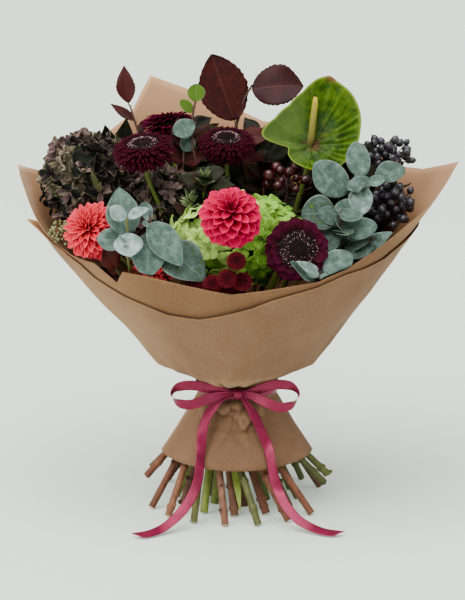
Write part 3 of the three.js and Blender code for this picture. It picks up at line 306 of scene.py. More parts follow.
# %% The builder
class Builder:
    """Collects closed sheets and tubes in millimetres, then makes one object of them."""

    def __init__(self):
        self.points = []
        self.tints = []
        self.faces = []
        self.count = 0

    def add(self, points, tints, faces):
        points = np.asarray(points, float).reshape(-1, 3)
        self.points.append(points)
        self.tints.append(np.broadcast_to(np.asarray(tints, float).reshape(-1, 3), points.shape))
        self.faces.extend((np.asarray(block, int) + self.count).tolist() for block in faces)
        self.count += len(points)

    def sheet(self, grid, tints, thickness, round_shut=False):
        """A grid of points as a closed sheet of even thickness, or a sleeve when it is round."""
        rows, columns = grid.shape[:2]
        across = np.roll(grid, -1, 1) - np.roll(grid, 1, 1) if round_shut else np.gradient(grid, axis=1)
        normal = np.cross(across, np.gradient(grid, axis=0))
        normal /= np.maximum(np.linalg.norm(normal, axis=2, keepdims=True), 1e-9)
        half = np.asarray(thickness, float) / 2
        half = half[..., None] if half.ndim else half
        both = np.concatenate([(grid + normal * half).reshape(-1, 3), (grid - normal * half).reshape(-1, 3)])
        index, top = grid_faces(rows, columns, round_shut)
        low = rows * columns
        rims = [index[0], index[-1, ::-1]]
        if not round_shut:
            rims += [index[::-1, 0], index[:, -1]]
        edge = np.concatenate([np.stack([rim[1:], rim[:-1], rim[:-1] + low, rim[1:] + low], -1) for rim in rims])
        tints = np.broadcast_to(np.asarray(tints, float), grid.shape).reshape(-1, 3)
        self.add(both, np.concatenate([tints, tints]), [top, top[:, ::-1] + low, edge])

    def tube(self, path, radii, tint=(0, 0, 0), sides=10):
        """A round stalk along a path, its ends closed."""
        path = np.asarray(path, float)
        steps = len(path)
        radii = np.broadcast_to(np.asarray(radii, float), (steps,))
        ahead = np.gradient(path, axis=0)
        ahead /= np.maximum(np.linalg.norm(ahead, axis=1, keepdims=True), 1e-9)
        side = np.zeros((steps, 3))
        guess = np.array([1.0, 0, 0]) if abs(ahead[0, 0]) < 0.9 else np.array([0, 1.0, 0])
        for i in range(steps):
            guess = guess - ahead[i] * guess.dot(ahead[i])
            guess /= np.linalg.norm(guess)
            side[i] = guess
        up = np.cross(ahead, side)
        angle = np.arange(sides) * 2 * math.pi / sides
        ring = side[:, None] * np.cos(angle)[None, :, None] + up[:, None] * np.sin(angle)[None, :, None]
        points = path[:, None] + ring * radii[:, None, None]
        index, skin = grid_faces(steps, sides)
        foot, tip = steps * sides, steps * sides + 1
        ends = [path[0], path[-1] + ahead[-1] * (radii[-1] * 0.5)]
        caps = [np.stack([index[0, 1:], index[0, :-1], np.full(sides, foot)], -1),
                np.stack([index[-1, :-1], index[-1, 1:], np.full(sides, tip)], -1)]
        tint = np.asarray(tint, float)
        if tint.ndim == 1:
            tint = np.stack([np.linspace(0, 1, steps), np.full(steps, tint[1]), np.full(steps, tint[2])], -1)
        tints = np.repeat(tint, sides, axis=0)
        self.add(np.concatenate([points.reshape(-1, 3), ends]), np.concatenate([tints, tint[:1], tint[-1:]]),
                 [skin, *caps])

    def ball(self, centre, radii, tint=(0, 0, 0), columns=12, rows=8, axis=(0, 0, 1)):
        """A rounded body, its poles on the given axis."""
        polar = np.linspace(0, math.pi, rows + 1)[1:-1]
        turn = np.arange(columns) * 2 * math.pi / columns
        x = np.sin(polar)[:, None] * np.cos(turn)
        y = np.sin(polar)[:, None] * np.sin(turn)
        z = np.broadcast_to(np.cos(polar)[:, None], x.shape)
        points = np.concatenate([np.stack([x, y, z], -1).reshape(-1, 3), [[0, 0, 1], [0, 0, -1]]])
        index, skin = grid_faces(rows - 1, columns)
        top, low = (rows - 1) * columns, (rows - 1) * columns + 1
        caps = [np.stack([index[0, :-1], index[0, 1:], np.full(columns, top)], -1),
                np.stack([index[-1, 1:], index[-1, :-1], np.full(columns, low)], -1)]
        tints = np.tile(np.asarray(tint, float), (len(points), 1))
        tints[:, 0] = (1 - points[:, 2]) / 2
        placed = points * np.asarray(radii, float) @ axes_along(axis).T + np.asarray(centre, float)
        self.add(placed, tints, [skin[:, [0, 3, 2, 1]], *caps])

    def piece(self, name, finish, nodes=(), slot=None, inside=True):
        """Makes the object, lets it ride on the bouquet and stand for its solids."""
        mesh = bpy.data.meshes.new(name)
        faces = [face for block in self.faces for face in block]
        points = np.concatenate(self.points)
        mesh.from_pydata(to_row(inside_wrap(points) if inside else points).tolist(), [], faces)
        mesh.polygons.foreach_set("use_smooth", [True] * len(faces))
        layer = mesh.attributes.new("tint", "FLOAT_VECTOR", "POINT")
        layer.data.foreach_set("vector", np.concatenate(self.tints).astype(np.float32).ravel())
        mesh.materials.append(finish.material)
        mesh.update()
        made = bpy.data.objects.new(name, mesh)
        bring_in(made)
        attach(made, "root")
        if nodes:
            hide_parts(*nodes)
        print(name, "has", len(faces), "faces")
        return made


# %% Directions and curves
def unit(vector):
    vector = np.asarray(vector, float)
    return vector / max(np.linalg.norm(vector), 1e-9)


def axes_along(direction, turn=0.0):
    """A rotation whose third axis is the direction, turned about it, with its second axis upward."""
    z = unit(direction)
    hint = np.array([0, 1.0, 0]) if abs(z[2]) > 0.9 else np.array([0, 0, 1.0])
    x = unit(np.cross(hint, z))
    y = np.cross(z, x)
    c, s = math.cos(turn), math.sin(turn)
    return np.stack([x * c + y * s, y * c - x * s, z], axis=1)


def put(points, at, direction, turn=0.0):
    """Points made about the origin with z up, moved to a place and turned to face a direction."""
    return np.asarray(points) @ axes_along(direction, turn).T + np.asarray(at, float)


def smooth(value, low, high):
    """0 below low, 1 above high and smooth between."""
    share = np.clip((np.asarray(value, float) - low) / (high - low), 0, 1)
    return share * share * (3 - 2 * share)


def curve_through(points, count):
    """A smooth run of points through the given ones."""
    return curve_at(points, np.linspace(0, len(points) - 1, count))


def curve_at(points, places):
    """The smooth run's points at places that count the given points: 1.5 is midway from the second to the third."""
    points = np.asarray(points, float)
    padded = np.concatenate([[2 * points[0] - points[1]], points, [2 * points[-1] - points[-2]]])
    result = []
    for place in places:
        i = min(int(place), len(points) - 2)
        t = place - i
        a, b, c, d = padded[i:i + 4]
        result.append(0.5 * (2 * b + (c - a) * t + (2 * a - 5 * b + 4 * c - d) * t ** 2
                             + (3 * b - a - 3 * c + d) * t ** 3))
    return np.array(result)


print("builder ready")

# %% [markdown]
# ## Kraft paper
# Two sheets wrap the bunch. Both follow one surface: a skirt below the tie, a narrow neck at the tie and
# an open cone above it, wider at the sides than from front to back. The rims rise to corners at the two
# sides and behind. The paper is gathered at the neck, so pleats run up and down from it and die out, and
# the flat parts keep soft creases. Both sheets share one relief, so that they never cut each other.

# %% Widths and rims of the wrap
PAPER_HEIGHTS = [54, 80, 104, 118, 136, 140, 145, 150, 174, 227, 254, 280, 306, 326, 364, 440]
PAPER_RIGHT = [78, 61, 46, 38.6, 38.6, 47, 64, 79, 97, 134, 153, 171, 189, 204, 227, 255]
PAPER_LEFT = [78, 61, 46, 38.6, 38.6, 48, 66, 82, 102, 146, 168, 189, 206, 214, 228, 255]
PAPER_DEPTH = [78, 61, 46, 38.6, 38.6, 47, 64, 79, 97, 125, 138, 150, 160, 167, 180, 196]
INNER_RIM = [
    (-180, 362), (-176, 335), (-170, 304), (-160, 288), (-150, 279), (-140, 275), (-135, 256), (-129, 270),
    (-120, 268), (-110, 262), (-100, 256), (-92, 252), (-81, 255), (-70, 259), (-60, 262), (-50, 273),
    (-39, 289), (-29, 306), (-20, 318), (-12, 330), (-6, 345), (0, 364), (14, 354), (24, 346), (33, 345),
    (60, 368), (83, 385), (102, 419), (112.5, 436), (120, 394), (135, 362), (159, 345), (180, 362),
]
OUTER_RIM = [
    (-180, 306), (-170, 299), (-154, 283), (-148, 272), (-145, 258), (-136, 243), (-118, 228), (-105, 226),
    (-97, 230), (-85, 238), (-77, 246), (-68, 252), (-60, 257), (-50, 268), (-42, 271), (-30, 277),
    (-18, 290), (-8, 300), (0, 303), (20, 285), (50, 262), (90, 250), (130, 262), (160, 284), (180, 306),
]
PAPER_COLUMNS = 200
PAPER_ROWS = 66
PAPER_THICKNESS = 0.5
SHEET_SPACING = 2.2
CREASE_DEPTH = 1.75
CREASE_SIZE = 34
NECK_RADIUS = 46
CLEAR_OF_PAPER = 5
print("the inner rim is", min(stop[1] for stop in INNER_RIM), "to", max(stop[1] for stop in INNER_RIM), "mm up")


# %% Folds and creases
def fold(value):
    """Up and down in straight lines, like paper folded and opened."""
    return 1 - 2 * np.abs((value / math.pi) % 2 - 1)


def crumple(aside, rise):
    """Flat facets round the knot that meet in sharp folds."""
    facets = 0
    for turn, length, deep in ((0.5, 19, 1.0), (1.8, 14, 0.7), (2.6, 25, 1.3)):
        across = (aside * math.cos(turn) + rise * math.sin(turn)) / length + 0.4 * turn
        facets = facets + deep * np.abs(across % 1 * 2 - 1)
    return facets - 1.5


def puffed(aside, rise):
    """Where paper is bunched under the knot: 1 inside, falling to 0 over a short step at its lower edge."""
    lower = 27 + 4.5 * np.sin(aside * 0.16 + 0.8) + 3 * np.sin(aside * 0.31) + 0.2 * aside
    inside = 1 - smooth(-rise / lower, 0.86, 1.06)
    return inside * smooth(-rise, 6, 15) * (1 - smooth(np.abs(aside + 6), 27, 38))


def wrap_relief(angle, height):
    """Pleats gathered at the neck, long soft folds above, and creases."""
    near_tie = np.exp(-((height - TIE_HEIGHT) / 42) ** 2)
    clear_of_band = smooth(np.abs(height - TIE_HEIGHT), 7, 22)
    pleats = np.sin(angle * 17 + 1.8 * np.sin(angle * 3)) * (0.5 + 0.5 * np.sin(angle * 5 + 1))
    pleats = pleats * np.where(height < TIE_HEIGHT, 0.3, 0.7)
    folds = np.sin(angle * 7 + 0.9 * np.sin(2 * angle) + height * 0.006)
    waves = np.sin(angle * 2.0 + 0.8) * 0.6 + np.sin(angle * 4 + height * 0.02) * 0.4
    aside, rise = (angle + math.pi / 2) * NECK_RADIUS, height - TIE_HEIGHT
    heading = np.arctan2(rise, aside)
    tucks = puffed(aside, rise) * (3.2 + fold(heading * 7 + 0.9) * 1.3 + crumple(aside, rise) * 2.9)
    return (pleats * near_tie * (0.35 + 2.4 * clear_of_band)
            + folds * 1.3 * smooth(height, 150, 190) * (1 - smooth(height, 230, 330))
            + waves * 2.2 * smooth(height, 190, 300) + tucks)


def pinched(angle, height):
    """How far the paper hangs down above the knot, where a fold of it was caught by the ribbon."""
    aside = (angle + math.pi / 2) * 60 + 9
    lump = np.exp(-(aside / 20) ** 4) * np.exp(-((height - 147.5) / 7.5) ** 2)
    facets = crumple(aside * 1.1 + 40, height * 1.4)
    crease = 1 - 0.95 * np.exp(-((aside + 3) / 2.0) ** 2) - 0.5 * np.exp(-((aside - 11) / 2.5) ** 2)
    return lump * (4.2 + 1.6 * facets) * crease


def creases(angle, height, amount):
    """Flat facets that meet in sharp lines, as in paper that has been handled."""
    spots = np.stack([angle * 90, height, np.zeros_like(height)], -1).reshape(-1, 3) / CREASE_SIZE
    facets = np.array([noise.voronoi(Vector(p), distance_metric="DISTANCE")[0][:2] for p in spots])
    ridge = np.clip(facets[:, 1] - facets[:, 0], 0, 0.35).reshape(angle.shape)
    return amount * ridge


# %% The surface of the wrap
def wrap_point(angle, height, relief=0.0):
    """Where the wrap is at an angle round the tie and a height."""
    rightward = smooth(np.cos(angle), -1, 1)
    right, left, depth = (np.interp(height, PAPER_HEIGHTS, side)
                          for side in (PAPER_RIGHT, PAPER_LEFT, PAPER_DEPTH))
    wide = left + rightward * (right - left) + relief
    flatter = 0.28 * smooth(height, 100, 62) + 1.25 * smooth(height, 133, 148) * (1 - smooth(height, 158, 232))
    deep = (depth + relief) * np.sin(angle) * np.abs(np.sin(angle)) ** flatter
    return np.stack([wide * np.cos(angle), deep, height], -1)


def rim_height(angle, rim):
    return np.interp(np.degrees(angle), [stop[0] for stop in rim], [stop[1] for stop in rim])


def inside_wrap(points):
    """Points that would pass through the paper, drawn in to it. Above the rim they may lean over it."""
    x, y, height = points.T
    depth = np.interp(height, PAPER_HEIGHTS, PAPER_DEPTH)
    wide = np.where(x > 0, np.interp(height, PAPER_HEIGHTS, PAPER_RIGHT), np.interp(height, PAPER_HEIGHTS, PAPER_LEFT))
    reach = np.hypot(x / wide, y / depth)
    above = height - rim_height(np.arctan2(y / depth, x / wide), INNER_RIM)
    room = 1 - CLEAR_OF_PAPER / depth + np.clip(above, 0, None) * 0.02
    share = np.where(height > TIE_HEIGHT + 20, np.minimum(1, room / np.maximum(reach, 1e-6)), 1)
    return np.stack([x * share, y * share, height], -1)


# %% Points of the two sheets
def paper_grid(rim, low, distance, flare=0.0):
    """The points of one sheet and its tint. Columns are close together in front, rows near the tie."""
    even = np.linspace(-math.pi, math.pi, PAPER_COLUMNS, endpoint=False)
    stops = np.radians([stop[0] for stop in rim[1:-1]])
    angle = np.unique(np.concatenate([even - 0.4 * np.cos(even) - 0.4, stops]).round(4))
    angle = angle[(angle >= -math.pi) & (angle < math.pi - 0.004)]
    top = rim_height(angle, rim)
    share = np.linspace(0, 1, PAPER_ROWS)
    height = np.stack([np.interp(share, (0, 0.14, 0.58, 1), (low, 90, 168, end)) for end in top], axis=1)
    share = share[:, None]
    angle = np.broadcast_to(angle, height.shape)
    relief = wrap_relief(angle, height) + creases(angle, height, CREASE_DEPTH)
    surface = wrap_point(angle, height, relief)
    surface[..., 2] -= pinched(angle, height)
    turn = wrap_point(angle + 0.01, height, relief) - wrap_point(angle - 0.01, height, relief)
    climb = wrap_point(angle, height + 3) - wrap_point(angle, height - 3)
    normal = np.cross(turn, climb)
    normal /= np.linalg.norm(normal, axis=-1, keepdims=True)
    apart = distance * (1 + 1.2 * smooth(height, 190, 250) * np.exp(-((angle + 1.72) / 0.36) ** 2))
    surface = surface + normal * apart[..., None]
    corner = np.exp(-((np.pi - np.abs(angle)) / math.radians(9)) ** 2)
    surface[..., 0] -= flare * corner * np.clip((height - 284) / 22, 0, None)
    # The tint's third part is painted light: most on its high rims and at the left corner, and some on the left side.
    lit = np.clip(0.55 * smooth(height, 285, 335) + 0.45 * smooth(height, 350, 415) + 0.5 * corner, 0, 1)
    lit = lit + 0.3 * smooth(-np.cos(angle), 0.45, 0.9) * smooth(height, 110, 180) * (1 - smooth(height, 250, 300))
    at_left = np.exp(-((np.pi - np.abs(angle)) / math.radians(17)) ** 4)
    lit = lit + 0.35 * at_left * smooth(height, 262, 300)
    # Its first part is painted shade: in the hollows of its folds in front, under and over the tie, and on the front
    # low down. Below zero, on the ridges of the folds, it is painted light.
    depth = np.linalg.norm(surface[..., :2], axis=-1)
    around = sum(np.roll(np.roll(depth, i, 0), j, 1) for i in (-1, 0, 1) for j in (-2, 0, 2)) / 9
    in_front = smooth(np.abs(angle + math.pi / 2), 0.72, 0.5)
    under_tie = smooth(height, 70, 80) * (1 - smooth(height, 120, 124))
    over_tie = smooth(height, 138, 141) * (1 - smooth(height, 152, 158))
    hollow = np.clip((around - depth) / 0.6, -0.6, 1) * in_front * (under_tie + over_tie)
    below = smooth(np.abs(angle + math.pi / 2), 1.2, 0.3) * smooth(height, 150, 110)
    tint = np.stack([0.25 * below + 0.6 * hollow, angle / math.pi, lit], -1)
    return surface, tint


inner_grid, inner_tint = paper_grid(INNER_RIM, 54.6, 0.0)
outer_grid, outer_tint = paper_grid(OUTER_RIM, 54.0, SHEET_SPACING, flare=11)
print("paper rows and columns", inner_grid.shape[:2])


# %% Kraft finish
def kraft_finish(name, low, middle, high):
    """Unbleached paper: fibres, faint machine lines and flecks. Painted light makes the high rims, the left corner and
    the left side paler; painted shade darkens the hollows of the folds near the tie and the front low down.
    """
    made = Finish(name, Roughness=0.82)
    made.set(Specular_IOR_Level=0.15, Subsurface_Weight=0.3, Subsurface_Radius=(1, 0.7, 0.45),
             Subsurface_Scale=0.0015)
    painted_shade, _, lit = made.tint()
    clouds = made.speckle(38, 3, 0.55)
    fibres = made.speckle(1.6, 4, 0.65, stretch=(1, 1, 0.18))
    flecks = made.speckle(0.7, 2, 0.5, stretch=(1, 1, 0.5)).over(0.66, 0.74)
    lines = made.speckle(2.2, 1, 0.4, stretch=(1, 1, 0.02))
    tone = made.ramp(clouds * 0.5 + fibres * 0.3 + lines * 0.2, [
        (0.3, low), (0.5, middle), (0.7, high)])
    # Painted light: paler paper on the high rims, at the left corner and on the left side.
    tone = made.mix(tone, (0.47, 0.28, 0.15), lit)
    tone = made.mix(tone, (0.9, 0.72, 0.56), lit - 1.0)
    # Painted shade in the hollows of the folds and low in front; below zero, on the ridges, painted light.
    tone = made.mix(tone, (0.06, 0.026, 0.012), painted_shade)
    tone = made.mix(tone, (0.36, 0.22, 0.13), painted_shade * -1.0)
    made.set(Base_Color=made.mix(tone, (0.1, 0.05, 0.024), flecks * 0.3))
    made.set(Roughness=0.78 + fibres * 0.12)
    made.set(Normal=made.bump(fibres * 0.7 + lines * 0.3, 0.12))
    return made


# %% Make the sheets
PAPERS = [
    # The inner sheet's stops are darker than the outer's: painted shade for its band inside the outer rim.
    ("paper_inner", inner_grid, inner_tint,
     kraft_finish("kraft_inner", (0.13, 0.062, 0.027), (0.165, 0.083, 0.039), (0.2, 0.105, 0.053))),
    ("paper_outer", outer_grid, outer_tint,
     kraft_finish("kraft_outer", (0.15, 0.078, 0.04), (0.185, 0.1, 0.054), (0.225, 0.126, 0.07))),
]
for name, grid, tint, finish in PAPERS:
    wrap = Builder()
    wrap.sheet(grid, tint, PAPER_THICKNESS, round_shut=True)
    piece = wrap.piece(f"{name}_sheet", finish, [name], "kraft", inside=False)

# %% [markdown]
# ## Blades
# Every leaf and petal is the same thing to a modeller: a thin blade with an outline, a rib, and some
# roll, arch and waviness of its own. Leaves are given by their root and tip. Petals are made round the
# middle of a bloom and turned with it.


# %% Outline of a blade
def blade_outline(shares, peak, root, tip, foot=0.0):
    """Half width along a blade: widest at its peak. A power of 0.5 rounds an end, 1 or more points it."""
    shares = np.clip(shares, 0.004, 0.996)
    rising = np.sin(np.clip(shares / peak, 0, 1) * math.pi / 2) ** root
    falling = np.sin(np.clip((1 - shares) / (1 - peak), 0, 1) * math.pi / 2) ** tip
    return np.maximum(rising, foot) * falling


print("half width near a round end:", blade_outline(0.1, 0.5, 0.5, 0.5).round(2))

# %% Leaf
POINTED_SHAPE = dict(peak=0.4, root=0.62, tip=0.85, fold=0.14, wave=0.045, rows=15, columns=11)
EUCALYPTUS_SHAPE = dict(peak=0.5, root=0.62, tip=0.55, fold=0.1, wave=0.035, rows=15, columns=11)
BEECH_SHAPE = dict(peak=0.42, root=0.7, tip=1.05, fold=0.14, wave=0.05, rows=25, columns=11, teeth=11, ribs=0.9)
BROAD_SHAPE = dict(BEECH_SHAPE, peak=0.5, root=0.52, tip=0.75)
NARROW_SHAPE = dict(POINTED_SHAPE, fold=0.35, rows=11, columns=7)
GREEN_SHAPE = dict(peak=0.45, root=0.8, tip=1.1, fold=0.16, wave=0.06, rows=10, columns=5)


def leaf(build, root, tip, width, draw, look=(0, -0.85, 0.5), arch=0.1, tone=None, peak=0.5, root_round=0.5,
         tip_round=0.5, fold=0.1, wave=0.04, rows=13, columns=9, teeth=0, ribs=0.0, thickness=0.45):
    """A leaf from its root to its tip, its upper side turned to the look."""
    start = np.asarray(root, float)
    along = np.asarray(tip, float) - start
    length = np.linalg.norm(along)
    along /= length
    normal = unit(np.asarray(look, float) - along * along.dot(look))
    right = np.cross(along, normal)
    s = np.linspace(0, 1, rows)[:, None]
    u = np.linspace(-1, 1, columns)[None, :]
    half = width / 2 * blade_outline(s, peak, root_round, tip_round)
    if teeth:
        half = half * (1 - 0.09 * ((s * teeth) % 1) * np.abs(u) ** 4)
    phase = draw.uniform(0, 6.28)
    aside = u * half
    waves = np.sin(s * 6 + phase) * u ** 2 + 0.6 * np.sin(s * 11 + phase) * u ** 3
    lift = fold * np.abs(aside) + wave * width * waves
    lift = lift + ribs * np.sin((s - 0.16 * np.abs(u)) * math.tau * 8) * np.abs(u) * (1 - np.abs(u) ** 3)
    lift = lift - arch * length * s ** 2
    sway = draw.uniform(-0.035, 0.035) * length * np.sin(s * math.pi)
    grid = (start + along * (length * s)[..., None] + right * (aside + sway)[..., None]
            + normal * lift[..., None])
    tone = draw.random() if tone is None else tone
    tint = np.stack(np.broadcast_arrays(s, u, np.full_like(s, tone)), -1)
    build.sheet(grid, tint, thickness)


def shaped(shape):
    """A leaf shape's settings under the names that the leaf takes."""
    names = {"root": "root_round", "tip": "tip_round"}
    return {names.get(key, key): value for key, value in shape.items()}


print("a beech leaf has", BEECH_SHAPE["teeth"], "teeth a side")

# %% Petal
def petal(length, width, draw, pitch=0.0, bend=0.0, cup=0.2, cup_tip=None, peak=0.6, root=0.7, tip=0.5, foot=0.2,
          ruffle=0.0, notch=0.0, rows=8, columns=7):
    """A petal made along +y, its upper side to +z. Pitch, bend and cup are angles in radians."""
    s = np.linspace(0, 1, rows)[:, None]
    u = np.linspace(-1, 1, columns)[None, :]
    slope = pitch + bend * s ** 1.4
    step = length / (rows - 1)
    out = np.concatenate([[[0]], np.cumsum(np.cos((slope[1:] + slope[:-1]) / 2) * step, 0)])
    rise = np.concatenate([[[0]], np.cumsum(np.sin((slope[1:] + slope[:-1]) / 2) * step, 0)])
    half = width / 2 * blade_outline(s, peak, root, tip, foot)
    roll = np.maximum(cup + ((cup_tip if cup_tip is not None else cup) - cup) * s, 0.01)
    x = half * np.sin(u * roll) / roll
    lift = half * (1 - np.cos(u * roll)) / roll
    lift = lift + ruffle * width * np.sin(u * 5 + draw.uniform(0, 6.28)) * s ** 2
    short = notch * length * np.exp(-(u / 0.22) ** 2) * s ** 6
    y = out - np.sin(slope) * lift - short * np.cos(slope)
    z = rise + np.cos(slope) * lift - short * np.sin(slope)
    return np.stack(np.broadcast_arrays(x, y, z), -1), (s, u)


def set_round(grid, azimuth, out, up):
    """A petal turned to its place round the middle of a bloom."""
    radial = np.array([math.cos(azimuth), math.sin(azimuth), 0])
    tangent = np.array([radial[1], -radial[0], 0])
    return (tangent * grid[..., :1] + radial * (grid[..., 1:2] + out)
            + np.array([0, 0, 1.0]) * (grid[..., 2:] + up))


def add_petal(build, grid, parts, tone, thickness, at, faces, turn=0.0):
    """Puts a petal in its place on a bloom."""
    s, u = parts
    tint = np.stack(np.broadcast_arrays(s, u, np.full_like(s, tone)), -1)
    build.sheet(put(grid, at, faces, turn), tint, thickness)


print("blades ready")

# %% [markdown]
# ## Satin ribbon
# One length of ribbon goes round the neck, is knotted at the front and ends in two loops and two tails.
# Satin shows its weave as a long soft highlight across the strip, so the strip is slightly crowned and
# its finish is smooth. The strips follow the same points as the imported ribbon.

# %% Ribbon paths
RIBBON_WIDTH = 10.4
RIBBON_THICKNESS = 0.32
BAND_RADIUS = 43.75
LEFT_LOOP = [
    (-3, -50, 129), (-18, -55, 134), (-32, -59, 138), (-48, -62, 141), (-61, -63, 139), (-67, -65, 132),
    (-61, -68, 125), (-49, -69, 122.5), (-33, -64, 126), (-18, -56, 129), (-3, -50, 129),
]
RIGHT_LOOP = [
    (5, -50, 129), (19, -55, 134), (33, -60, 140), (44, -62, 142), (56, -63, 140), (63, -65, 132),
    (57, -68, 123), (44, -69, 119.5), (29, -64, 124), (16, -56, 128), (5, -50, 129),
]
LEFT_TAIL = [
    (-5, -50, 129), (-17, -53, 124), (-25, -56, 116), (-32, -59, 105), (-36, -62, 91), (-37, -66, 76),
    (-38, -75, 63), (-39, -81, 52), (-41, -85, 43), (-46, -92, 32), (-54, -102, 22), (-64, -111, 13.5),
    (-76, -119, 6.5), (-89, -128, 4.2), (-101, -133, 4),
]
RIGHT_TAIL = [
    (4, -50, 127), (13, -54, 115), (20, -58, 103), (26, -62, 90), (32, -67, 76), (35, -76, 62),
    (38, -82, 48), (43, -88, 35), (50, -99, 24), (61, -109, 13.5), (74, -115, 7), (88, -123, 4.4),
    (103, -128, 4.2),
]
LEFT_LOOP_FACES = [(0, -1, 0), (0, -1, 0), (1, -0.2, 0), (0, 1, 0), (0, 1, 0)]
RIGHT_LOOP_FACES = [(0, -1, 0), (0, -1, 0), (-1, -0.2, 0), (0, 1, 0), (0, 1, 0)]
LEFT_TAIL_FACES = [(0, -1, 0.3), (-0.7, -1, 0.2), (0.5, -1, 0), (0.2, -1, 0.2), (-0.3, -0.8, 0.7), (0, -0.25, 1)]
RIGHT_TAIL_FACES = [(0, -1, 0.3), (0.6, -1, 0.2), (-0.5, -1, 0), (0.1, -1, 0.3), (0.3, -0.7, 0.7), (0, -0.25, 1)]


# %% A strip of ribbon along a path
def ribbon_strip(stops, faces, steps, pinch, slant=0.0):
    """A crowned strip along a path, drawn in at its ends by the knot; returns the grid and its length."""
    path = curve_through(stops, steps)
    length = np.linalg.norm(np.diff(path, axis=0), axis=1).sum()
    share = np.linspace(0, 1, steps)
    place = share * (len(faces) - 1)
    faces = np.asarray(faces, float)
    low = np.minimum(place.astype(int), len(faces) - 2)
    face = faces[low] + (faces[low + 1] - faces[low]) * (place - low)[:, None]
    ahead = np.gradient(path, axis=0)
    ahead /= np.linalg.norm(ahead, axis=1, keepdims=True)
    face -= ahead * (face * ahead).sum(1, keepdims=True)
    face /= np.linalg.norm(face, axis=1, keepdims=True)
    across = np.cross(ahead, face)
    u = np.linspace(-1, 1, 11)
    half = RIBBON_WIDTH / 2 * pinch(share)
    folds = (1 - pinch(share))[:, None] * np.sin(u * 7)[None, :] * 2.2
    grid = (path[:, None] + across[:, None] * (u[None, :] * half[:, None])[..., None]
            + face[:, None] * (folds - 0.3 * u ** 2)[..., None])
    if slant:
        shift = slant * u[None, :] * smooth(share, 0.8, 1)[:, None]
        grid = grid + ahead[:, None] * shift[..., None]
    tint = np.stack([np.broadcast_to(share[:, None], grid.shape[:2]) * length / 100,
                     np.broadcast_to(u, grid.shape[:2]), np.full(grid.shape[:2], 0.5)], -1)
    return grid, tint, length


# %% Satin finish
def satin_finish():
    """Woven satin: magenta with a soft sheen, a fine weave along the strip and firm edges."""
    made = Finish("satin", Roughness=0.3, Metallic=0.45)
    made.set(Sheen_Weight=0.03, Sheen_Roughness=0.4, Sheen_Tint=(1, 0.5, 0.7, 1), Specular_IOR_Level=0.45)
    across = made.tint()[1]
    threads = (across * 62).sine() * 0.5 + 0.5
    cloud = made.speckle(9, 2, 0.5)
    edge = across.size().over(0.9, 1.0)
    tone = made.ramp(cloud * 0.7 + threads * 0.15, [
        (0.2, (0.15, 0.002, 0.028)), (0.55, (0.225, 0.005, 0.044)), (0.8, (0.3, 0.01, 0.062))])
    made.set(Base_Color=made.mix(tone, (0.08, 0.002, 0.02), edge * 0.5))
    made.set(Roughness=0.26 + threads * 0.1 + edge * 0.15)
    made.set(Normal=made.bump(threads, 0.05))
    return made


SATIN = satin_finish()
print("satin has", len(SATIN.tree.nodes), "nodes")


# %% Tie the bow
def pinched_twice(share):
    """A loop is drawn in where it leaves the knot and where it comes back."""
    return 0.5 + 0.5 * smooth(np.minimum(share, 1 - share), 0, 0.16)


def pinched_once(share):
    """A tail is drawn in at the knot only."""
    return 0.55 + 0.45 * smooth(share, 0, 0.16)


TAIL_SLANT = 4.5
ribbon_pieces = {
    "ribbon_loop_left": ribbon_strip(LEFT_LOOP, LEFT_LOOP_FACES, 70, pinched_twice),
    "ribbon_loop_right": ribbon_strip(RIGHT_LOOP, RIGHT_LOOP_FACES, 70, pinched_twice),
    "ribbon_tail_left": ribbon_strip(LEFT_TAIL, LEFT_TAIL_FACES, 80, pinched_once, TAIL_SLANT),
    "ribbon_tail_right": ribbon_strip(RIGHT_TAIL, RIGHT_TAIL_FACES, 80, pinched_once, -TAIL_SLANT),
}
for name, (grid, tint, length) in ribbon_pieces.items():
    strip = Builder()
    strip.sheet(grid, tint, RIBBON_THICKNESS)
    piece = strip.piece(name, SATIN, ["ribbon"], "satin_ribbon", inside=False)
    length * MM
    print(name, "is", round(length), "mm long")

# %% The band round the neck and the knot
angle = np.linspace(-math.pi, math.pi, 180, endpoint=False)
band_rise = np.linspace(-1, 1, 9)[:, None]
band_radius = BAND_RADIUS + 0.25 - 0.35 * band_rise ** 2 + 0.25 * np.sin(angle * 9)[None, :]
band_grid = np.stack([band_radius * np.cos(angle), band_radius * np.sin(angle),
                      TIE_HEIGHT + band_rise * RIBBON_WIDTH / 2 + 0.5 * np.sin(angle * 2 + 1)], -1)
band_tint = np.stack(np.broadcast_arrays(angle[None, :] * BAND_RADIUS / 100, band_rise, np.full_like(band_rise, 0.5)),
                     -1)
band = Builder()
band.sheet(band_grid, band_tint, RIBBON_THICKNESS, round_shut=True)
band_piece = band.piece("ribbon_band", SATIN, ["ribbon"], "satin_ribbon", inside=False)

turn = np.linspace(-math.pi, math.pi, 48, endpoint=False)[None, :]
side = np.linspace(-1, 1, 15)[:, None]
crown = 1 - 0.22 * side ** 2 + 0.07 * np.sin(side * 9 + turn * 0.7) + 0.05 * np.sin(side * 17)
knot_grid = np.stack(np.broadcast_arrays(
    0.8 + side * 4.3 + 0.8 * np.sin(turn) * side, -48.6 + 4.6 * crown * np.cos(turn),
    128.3 + 5.6 * crown * np.sin(turn)), -1)
knot_tint = np.stack(np.broadcast_arrays(turn * 0.06, side, np.full_like(side, 0.5)), -1)
knot = Builder()
knot.sheet(knot_grid, knot_tint, RIBBON_THICKNESS, round_shut=True)
knot_piece = knot.piece("ribbon_knot", SATIN, ["ribbon"], "satin_ribbon", inside=False)

# %% [markdown]
# ## Stems
# A florist lays stems in a spiral, so they cross at the tie and splay below it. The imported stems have
# five sides. Sliced at many heights, each gives its middle line and its radius, and a round tube with
# knots and a clean cut follows that line. Woody twigs are brown, soft stems are green.


# %% Middle line of a packed stem
SLICE_STEP = 5.0
STEM_REACH = 13
PENTAGON_AREA = 2.378


